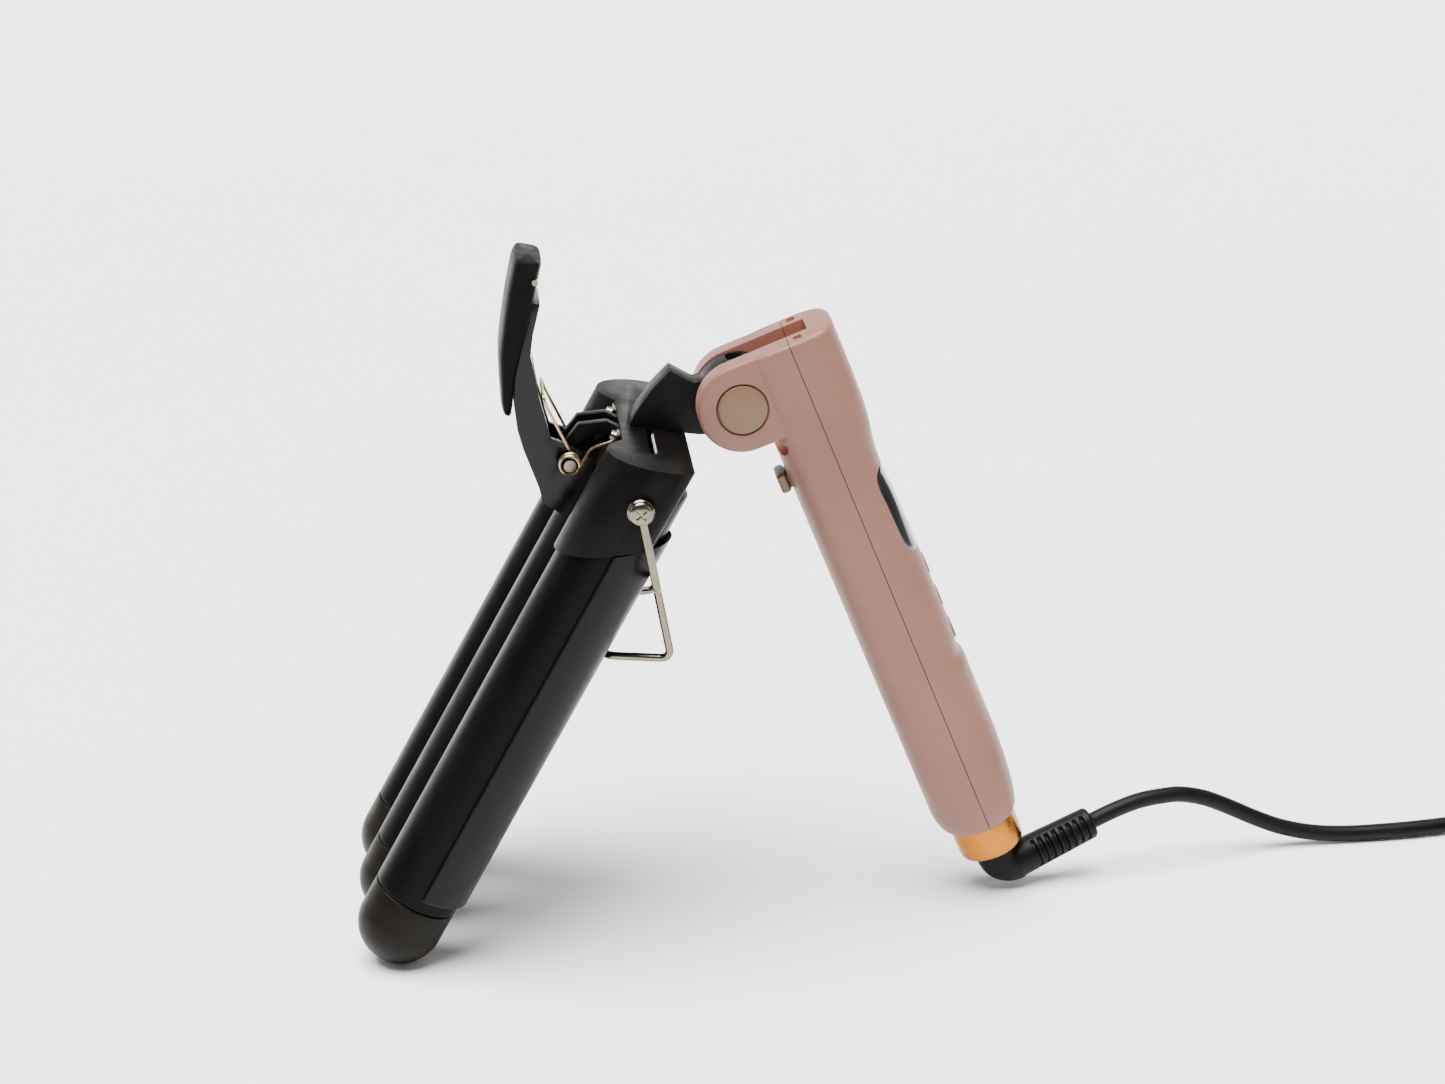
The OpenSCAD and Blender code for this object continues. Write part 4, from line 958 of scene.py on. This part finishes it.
        for k in range(3):
            key = revolved([[0, 25], [3.7, 25], [3.7, 30.9], [4.0, 31.6], [4.0, 35], [0, 35]], 48)
            made.append(loose("key hole", [key + np.array([KEY_S + KEY_STEP * k, 0, 0])], FACE))
        for y in (-9.0, 9.0):  # small recesses in the flat head
            pit = rounded_block((2.6, 3.2, 3.0), 0.02, 5.0, 32) + np.array([22.0, y, 11.4])
            made.append(loose("head pit", [pit], HANDLE))
        return made

    def paint_slot(self, mesh):
        """Faces inside the fork, the upper screw seats and the head's recesses get the second finish: the
        grip's plastic painted redder and lighter, as painted reflected light bounced round inside them.
        """
        centres = np.zeros(len(mesh.polygons) * 3)
        mesh.polygons.foreach_get("center", centres)
        local = (centres.reshape(-1, 3) / MM - HANDLE[:3, 3]) @ HANDLE[:3, :3]
        t, y, s = local[:, 0], local[:, 1], -local[:, 2]
        high_s, high_y = HIGH_SCREW
        fork = (np.abs(y) < FORK_HALF + 0.05) & (t < 25.6) & (s < 14.0)
        seat = (np.hypot(np.abs(y) - high_y, s - high_s) < 2.68) & (t < 26) & (t > 4.6)
        pit = (np.abs(t - 22) < 1.4) & (np.abs(np.abs(y) - 9) < 1.7) & (s > HEAD_TOP + 0.1) & (s < 12)
        mesh.polygons.foreach_set("material_index", (fork | seat | pit).astype(np.int32))
        mesh.update()


class WAVER_OT_head_fittings(bpy.types.Operator):
    """Fold pin's caps, lock slider's knob, display lens, keys and the gold end ring"""

    bl_idname = "waver.head_fittings"
    bl_label = "Head fittings"

    def execute(self, context):
        # cap: flat face with a shallow crown, r = 7.1, edge rounded by 0.6
        crown = [[r, CAP_TOP - 0.3 * (r / 6.3) ** 2] for r in np.linspace(0, 6.3, 12)]
        cap = np.vstack([[0, 10.72], [7.1, 10.72], [7.1, CAP_TOP - 0.85], [7.02, CAP_TOP - 0.6],
                         [6.75, CAP_TOP - 0.4], crown[::-1]])
        grids = [revolved(cap * [1, sign], 96) for sign in (-1, 1)]
        surface("pivot_caps", grids, ACROSS, FINISH["beige"], "handle", ["pin_caps"])
        surface("display_lens", [self.lens(context.scene.waver_sizes)], HANDLE, FINISH["lens"], "handle",
                ["display_window"], 40)
        for k, (name, node, body) in enumerate([("power_key", "power_button", "power_key"),
                                                ("hotter_key", "hotter_button", "hotter_key"),
                                                ("cooler_key", "cooler_button", "cooler_key")]):
            dish = [[r, 31.75 - 0.25 * (1 - (r / 2.7) ** 2)] for r in np.linspace(0, 2.7, 8)]
            key = np.vstack([[0, 27.4], [3.4, 27.4], [3.4, 31.3], [3.25, 31.6], [3.0, 31.75], dish[::-1]])
            place = np.array([KEY_S + KEY_STEP * k, 0, 0])
            surface(name, [revolved(key, 48) + place, self.mark(k) + place], FACE, FINISH["beige"], body,
                    [node])
        # knob: ridged top, rounded sides
        x = np.linspace(-2.9, 2.9, 59)
        edge = 1 - np.clip((np.abs(x) - 2.3) / 0.6, 0, 1) ** 2 * 0.35
        ridge = 0.28 * (np.cos(2 * np.pi * x / 1.45) > 0.1) * (np.abs(x) < 2.4)
        ring = oval(5.0 * edge ** 0.3, 1.5 * edge, 5.0, 40)
        depth = 2.4 + ring[..., 1] + (ring[..., 1] < 0) * ridge[:, None]
        knob = stacked(np.stack([depth, ring[..., 0]], -1), x - KNOB_S)
        stem = rounded_block((5.8, 5.4, 1.8), 0.2, 6.0, 32)
        stem_at = within(HANDLE, (3.7, 0, -KNOB_S), turned("Y", 90.0))
        mesh = grids_to_mesh("slider_knob", [to_row(HANDLE, capped(knob)), to_row(stem_at, stem)])
        shown("slider_knob", mesh, FINISH["beige"], "lock_slider", ["lock_knob"])
        ring = np.array([[8.05, -152.2], [9.9, -152.2], [10.1, -152.5], [10.15, -153.2], [10.12, -158],
                         [9.95, -161.2], [9.85, -161.9], [9.6, -162.5], [9.1, -162.9], [8.05, -163.0],
                         [8.05, -152.2]])
        surface("gold_ring", [revolved(ring, 120)], SWIVEL_END, FINISH["gold"], "handle",
                ["end_ring"], 45)
        return {"FINISHED"}

    def lens(self, sizes):
        """Lens over the display: a rounded rectangle in (height, depth), laid on the grip's outer face and
        lifted 0.12 mm off it, with an edge 0.7 mm deep and a closed back."""
        edge = oval(14.0, 11.2, 7.0, 96)
        share = np.concatenate([np.linspace(0, 0.97, 22), [0.99, 1.0, 1.0], np.linspace(0.97, 0, 12)])
        lift = np.concatenate([np.full(22, 0.12), [0.02, -0.12, -0.8], np.full(12, -0.8)])
        s = DISPLAY_S + share[:, None] * edge[None, :, 0]
        y = share[:, None] * edge[None, :, 1]
        inner, outer = WAVER_OT_grip.sides(s)
        n = sizes.grip_roundness
        face = (outer + inner) / 2 + (outer - inner) / 2 * (1 - (np.abs(y) / GRIP_HALF) ** n) ** (1 / n)
        return np.stack([face + lift[:, None], y, -s], 2)

    def mark(self, k):
        """Raised plain mark on a key: a ring for power, a bar for hotter and for cooler."""
        if k == 0:
            v = np.linspace(0, 2 * np.pi, 49)
            u = np.linspace(0, 2 * np.pi, 9)
            r = 1.3 + 0.16 * np.cos(u)[None]
            return np.stack([r * np.cos(v)[:, None], r * np.sin(v)[:, None],
                             31.55 + 0.16 * np.sin(u)[None] + 0 * v[:, None]], 2)
        return rounded_block((0.5, 2.4, 0.3), 0.1, 4.0, 24) + np.array([0, 0, 31.45])


class WAVER_OT_barrels(bpy.types.Operator):
    """Three coated barrels with their domed tips"""

    bl_idname = "waver.barrels"
    bl_label = "Barrels and tips"

    def execute(self, context):
        sizes = context.scene.waver_sizes
        r = BARREL_R
        skirt = sizes.tip_straight
        for name, y, body, top in [("near", -PITCH, "barrel_frame", skirt + sizes.barrel_length),
                                   ("middle", 0.0, "clamp_lever", MIDDLE_TOP),
                                   ("far", PITCH, "barrel_frame", skirt + sizes.barrel_length)]:
            # tube: outer wall with a drawn-in lower lip, then back up the bore
            tube_line = np.vstack([[r - 1.2, skirt + 0.35], [r - 0.5, skirt + 0.35],
                                   arc((r - 0.45, skirt + 0.8), 0.45, -90, 0, 5),
                                   np.column_stack([np.full(60, r), np.linspace(skirt + 1.2, top - 0.6, 60)]),
                                   [r - 0.2, top - 0.1], [r - 0.4, top], [r - 1.2, top],
                                   [r - 1.2, skirt + 0.35]])
            surface(name + "_barrel_tube", [revolved(tube_line, 128) + np.array([0, y, 0])], BARRELS,
                    FINISH["barrel"], body, [name + "_barrel"], 40)
            # tip: half sphere, straight skirt, rounded lip against the tube
            dome = arc((0, 0), r, -90, 0, 40)
            dome[0, 0] = 0
            tip_line = np.vstack([dome, [r, skirt * 0.5], [r, skirt - 0.35],
                                  arc((r - 0.35, skirt - 0.35), 0.35, 0, 90, 5),
                                  [r - 1.25, skirt], [r - 1.25, skirt + 4], [0, skirt + 4]])
            surface(name + "_tip_dome", [revolved(tip_line, 128) + np.array([0, y, 0])], BARRELS,
                    FINISH["tip"], body, [name + "_tip"], 40)
        return {"FINISHED"}


class WAVER_OT_guards(bpy.types.Operator):
    """Heat guards round the outer barrels' undersides"""

    bl_idname = "waver.guards"
    bl_label = "Heat guards"

    def execute(self, context):
        wall = context.scene.waver_sizes.guard_thickness
        inner = BARREL_R + 0.5
        lip_mid = inner + wall / 2
        start, stop = -88.5, 28.5
        # cross-section: outer arc from the outer side under the barrel, rounded lips, inner arc back
        outer_arc = arc((0, 0), inner + wall, start, stop, 60)
        inner_arc = arc((0, 0), inner, stop, start, 60)
        loop = np.vstack([outer_arc, self.lip(lip_mid, wall, stop, stop), inner_arc,
                          self.lip(lip_mid, wall, start, start - 180), outer_arc[:1]])
        # the upper end follows the collar's slanted mouth, 0.35 mm clear of it
        slope = 15.0 / (BARREL_R + 1.2 + 9.0)
        top = 122.5 + slope * (loop[:, 0] + BARREL_R + 1.2) - 0.35
        places = np.vstack([14.0 + np.array([[0.0], [0.15], [0.5]]) + 0 * top,
                            15.0 + (top - 15.0) * np.linspace(0, 1, 70)[:, None]])
        # the lower end is rounded: its rings lie closer to the wall's middle
        draw = np.concatenate([[0.35, 0.12, 0.0], np.zeros(70)])[:, None]
        reach = np.hypot(loop[:, 0], loop[:, 1])
        pull = 1 - draw * np.sign(reach - lip_mid) * (np.abs(reach - lip_mid) > wall * 0.3) / reach
        for name, side in (("near", -1), ("far", 1)):
            grid = np.stack([loop[:, 0] * pull, side * (PITCH - loop[:, 1] * pull), places], 2)
            mesh = self.closed(name, grid)
            shown(name + "_guard_trough", mesh, FINISH["guard"], "barrel_frame",
                  [name + "_heat_guard"], 40)
        return {"FINISHED"}

    def lip(self, middle, wall, at, first):
        """Half circle that rounds the wall's edge at an angle round the barrel, without its end points."""
        a = math.radians(at)
        return arc((middle * math.cos(a), middle * math.sin(a)), wall / 2, first, first + 180, 9)[1:-1]

    def closed(self, name, grid):
        """The trough's skin with both ends filled by strips between its outer and inner edge."""
        mesh = grids_to_mesh(name, [to_row(BARRELS, grid)])
        bm = bmesh.new()
        bm.from_mesh(mesh)
        rim = [e for e in bm.edges if e.is_boundary]
        bmesh.ops.holes_fill(bm, edges=rim, sides=0)
        bmesh.ops.triangulate(bm, faces=[f for f in bm.faces if len(f.verts) > 4])
        bmesh.ops.recalc_face_normals(bm, faces=bm.faces)
        bm.to_mesh(mesh)
        bm.free()
        return mesh


class WAVER_OT_housing(bpy.types.Operator):
    """Collar housing, its cover, the neck, the lever pin's bracket and their screws"""

    bl_idname = "waver.housing"
    bl_label = "Housing and neck"

    def execute(self, context):
        from_cad("collar_housing", "barrel_housing", FINISH["housing"], "barrel_frame", 0.45)
        from_cad("collar_cover", "housing_cover", FINISH["housing"], "barrel_frame", 0.2)
        from_cad("fold_neck", "hinge_neck", FINISH["neck"], "barrel_frame", 0.5)
        from_cad("spring_bracket", "spring_anchor", FINISH["steel"], "barrel_frame", 0.2)
        from_cad("cover_screw_pair", "cover_screws", FINISH["screw"], "barrel_frame", 0.15)
        # stand screws: pan head with a cross recess, on a bright eyelet
        grids = []
        for sign in (-1, 1):
            head = np.vstack([[0, 41.5], [1.5, 41.5], [1.5, 45.1], [3.5, 45.1], [3.5, 45.5],
                              [3.3, 46.05], [2.9, 46.4], [2.2, 46.62], [1.2, 46.75], [0, 46.8]])
            grids.append(revolved(head, 64) * np.array([1, 1, sign]))
        at = within(BARRELS, (0, 0, STAND_S), turned("X", -90.0))
        screw = loose("stand screws", grids, at)
        for sign in (-1, 1):
            for angle in (20, 110):
                bar = rounded_block((3.9, 0.75, 2.4), 0.05, 6.0, 24)
                grid = bar @ turned("Z", angle).T + np.array([0, 0, 45.9 if sign > 0 else -48.3])
                screw = combined(screw, loose("cross", [grid], at), "DIFFERENCE")
        shown("stand_screw_pair", freed(screw, screw.data), FINISH["steel"], "barrel_frame",
              ["stand_screws"])
        return {"FINISHED"}


class WAVER_OT_lever(bpy.types.Operator):
    """Lever arm, thumb pad and the double torsion spring"""

    bl_idname = "waver.lever"
    bl_label = "Lever"

    def execute(self, context):
        from_cad("lever_horn", "lever_arm", FINISH["arm"], "clamp_lever", 0.6, 3)
        outer = np.array([[-38.9, 144.6], [-40.6, 145.2], [-42.6, 147.6], [-44.6, 151], [-46.7, 154.6],
                          [-49.4, 159.8], [-51.9, 166], [-54.2, 172.5], [-56.3, 179], [-57.9, 185.4],
                          [-57.7, 186.9]])
        inner = np.array([[-38.3, 145.6], [-39.3, 148.4], [-40.8, 152], [-42.3, 156], [-43.4, 160.2],
                          [-44.6, 165], [-46.2, 172], [-48.3, 179.5], [-50.4, 186.2], [-50.8, 187.7],
                          [-51.4, 188.7]])
        u = np.linspace(0, 10, 61)
        rail = [np.stack([smooth_line(np.arange(11), line[:, k], u) for k in range(2)], 1)
                for line in (outer, inner)]
        centre = (rail[0] + rail[1]) / 2
        half = (rail[1] - rail[0]) / 2
        width = 11.0 - 3.2 * np.clip(1 - u / 1.6, 0, 1) ** 2 - 0.7 * np.clip((u - 9.4) / 0.6, 0, 1) ** 2
        v = np.linspace(0, 2 * np.pi, 73)
        a, b = signed_power(np.cos(v), 2 / 5), signed_power(np.sin(v), 2 / 5)
        grid = np.zeros((61, 73, 3))
        crown = 0.9 * (1 - (b[None]) ** 2)  # the pad is crowned across its width
        grid[:, :, 0] = centre[:, :1] + half[:, :1] * a[None] * (1 + 0.12 * crown)
        grid[:, :, 2] = centre[:, 1:] + half[:, 1:] * a[None]
        grid[:, :, 1] = width[:, None] * b[None]
        surface("thumb_rest", [capped(grid)], BARRELS, FINISH["pad"], "clamp_lever",
                ["thumb_pad"], 40)
        # spring: a fixed leg, 3.3 turns of radius 2.75 round the lever pin, a free leg to the middle, and
        # the same mirrored
        x0, z0 = LEVER
        inner_y, outer_y = 9.3, 13.1
        q = np.linspace(0, 3.3, 80)
        a = 2 * np.pi * q
        coil = np.stack([x0 + 2.75 * np.cos(a), -outer_y + (outer_y - inner_y) * q / 3.3,
                         z0 + 2.75 * np.sin(a)], 1)
        start = smooth_route([[-10.5, -outer_y - 0.9, 153.0], [-12, -outer_y - 0.7, 151.4],
                              [-14.75, -outer_y, 147], [-14.75, -outer_y, 143]], 16)
        end = smooth_route([coil[-1], [-24.6, -inner_y, 148.1], [-32.2, -inner_y, 153.9],
                            [-33.0, -8.6, 154.7], [-33.2, -7.4, 154.9], [-33.2, 0, 154.9]], 34)
        half = np.concatenate([start, coil, end[1:]])
        path = np.concatenate([half[:-1], half[::-1] * [1, -1, 1]])
        surface("torsion_spring", [capped(tube(path, 0.45, 10))], BARRELS, FINISH["spring"], "barrel_frame",
                ["lever_spring"])
        return {"FINISHED"}


class WAVER_OT_wire_stand(bpy.types.Operator):
    """Bent wire stand with an eye at each end"""

    bl_idname = "waver.wire_stand"
    bl_label = "Wire stand"

    def execute(self, context):
        r = context.scene.waver_sizes.wire / 2
        eye_y, eye_r = 44.2, 2.76
        half = np.array([[0, -eye_y, -eye_r + 0.2], [0, -eye_y, -24], [0, -29.5, -23.8],
                         [0, -27.5, -51], [-18.5, -24, -47.4]])
        corners = np.concatenate([half, half[::-1] * [1, -1, 1]])
        bent = [corners[:1]]
        for k in range(1, len(corners) - 1):  # each corner is a parabola over 3.4 mm of both legs
            before = corners[k - 1] - corners[k]
            after = corners[k + 1] - corners[k]
            p = corners[k] + 3.4 * before / np.linalg.norm(before)
            q = corners[k] + 3.4 * after / np.linalg.norm(after)
            u = np.linspace(0, 1, 10)[:, None]
            bent.append((1 - u) ** 2 * p + 2 * u * (1 - u) * corners[k] + u**2 * q)
        bent.append(corners[-1:])
        path = np.concatenate(bent)
        v = np.linspace(0, 2 * np.pi, 49)
        grids = [capped(tube(path, r, 18))]
        for sign in (-1, 1):
            ring = np.stack([eye_r * np.cos(v), np.full(49, sign * eye_y), eye_r * np.sin(v)], 1)
            n = np.stack([np.cos(v), 0 * v, np.sin(v)], 1)
            u = np.linspace(0, 2 * np.pi, 19)
            grids.append(ring[:, None] + r * (np.cos(u)[None, :, None] * n[:, None]
                                              + np.sin(u)[None, :, None] * np.array([0, 1, 0])))
        surface("stand_wire", grids, STAND, FINISH["steel"], "stand", ["wire_stand"])
        return {"FINISHED"}


class WAVER_OT_elbow(bpy.types.Operator):
    """Swivelling elbow with its slotted strain relief"""

    bl_idname = "waver.elbow"
    bl_label = "Cord elbow"

    def execute(self, context):
        # centre line: down the stub, a bend of radius 6 and out along the sleeve
        bend = arc((5.0, 5.0), 5.0, 180, 270, 14)
        line = np.vstack([np.column_stack([np.zeros(4), np.linspace(7.6, 5.4, 4)]), bend,
                          np.column_stack([np.linspace(5.5, 30.9, 105), np.zeros(105)])])
        path = np.column_stack([line[:, 0], 0 * line[:, 0], line[:, 1]])
        along = line[:, 0]
        radius = np.where(along < 5.2, 6.2 - 0.25 * np.clip(along / 5, 0, 1),
                          5.6 - 0.7 * (along - 5.2) / 25.8)
        blunt = np.clip((along - 29.7) / 1.3, 0, 1)
        radius = radius - 1.1 * (1 - np.sqrt(1 - blunt ** 2 * 0.96))
        # slots 2.4 apart, cut across both broad sides and running out before the upper and lower edges
        slotted = (along > 9.8) & (along < 29.4)
        wave = np.clip(0.9 + 1.6 * np.cos(2 * np.pi * (along - 9.8) / 2.4), 0, 1)
        depth = 0.95 * slotted * (1 - wave)
        sleeve = tube(path, radius, 72)
        out = sleeve - path[:, None]
        side = np.clip((np.abs(out[..., 1]) / radius[:, None] - 0.42) / 0.16, 0, 1)
        sleeve = path[:, None] + out * (1 - side * (depth / radius)[:, None])[..., None]
        surface("elbow_relief", [capped(sleeve)], ELBOW, FINISH["relief"], "cord_swivel",
                ["cord_elbow"], 50)
        return {"FINISHED"}


class WAVER_OT_inner_parts(bpy.types.Operator):
    """Finishes of the pieces that keep their CAD shape"""

    bl_idname = "waver.inner_parts"
    bl_label = "Inner parts"

    def execute(self, context):
        kept = {
            "screw": ["shell_screws", "lock_bolt"],
            "steel": ["fold_pin", "friction_washers", "lock_spring", "lever_pin", "pad_pin"],
            "board": ["display_board", "control_board"],
            "lead": ["handle_leads", "neck_leads"],
            "relief": ["swivel_bush", "swivel_spindle"],
            "brass": ["brush_contacts", "slip_rings"],
            "heater": ["near_heater", "middle_heater", "far_heater"],
        }
        for finish, nodes in kept.items():
            for node in nodes:
                mesh = frame["nodes"][node].data
                mesh.materials.clear()
                mesh.materials.append(FINISH[finish])
        return {"FINISHED"}


class WAVER_PT_panel(bpy.types.Panel):
    """The waver's pieces in the 3D view's sidebar"""

    bl_label = "Folding Hair Waver"
    bl_idname = "WAVER_PT_panel"
    bl_space_type = "VIEW_3D"
    bl_region_type = "UI"
    bl_category = "Waver"

    def draw(self, context):
        layout = self.layout
        for group in (context.scene.waver_sizes, context.scene.waver_colours):
            for name in group.__annotations__:
                layout.prop(group, name)
        for operator in OPERATORS:
            layout.operator(operator.bl_idname)


OPERATORS = (
    WAVER_OT_stage,
    WAVER_OT_cord,
    WAVER_OT_grip,
    WAVER_OT_head_fittings,
    WAVER_OT_barrels,
    WAVER_OT_guards,
    WAVER_OT_housing,
    WAVER_OT_lever,
    WAVER_OT_wire_stand,
    WAVER_OT_elbow,
    WAVER_OT_inner_parts,
)
CLASSES = (WaverSizes, WaverColours, *OPERATORS, WAVER_PT_panel)


def register():
    """Adds the classes and the two groups of settings."""
    for cls in CLASSES:
        bpy.utils.register_class(cls)
    bpy.types.Scene.waver_sizes = bpy.props.PointerProperty(type=WaverSizes)
    bpy.types.Scene.waver_colours = bpy.props.PointerProperty(type=WaverColours)


def unregister():
    """Takes them away again."""
    del bpy.types.Scene.waver_colours
    del bpy.types.Scene.waver_sizes
    for cls in reversed(CLASSES):
        bpy.utils.unregister_class(cls)


def main():
    register()
    FINISH.update(make_finishes())
    for operator in OPERATORS:
        group, name = operator.bl_idname.split(".")
        getattr(getattr(bpy.ops, group), name)()


if __name__ == "__main__":
    main()
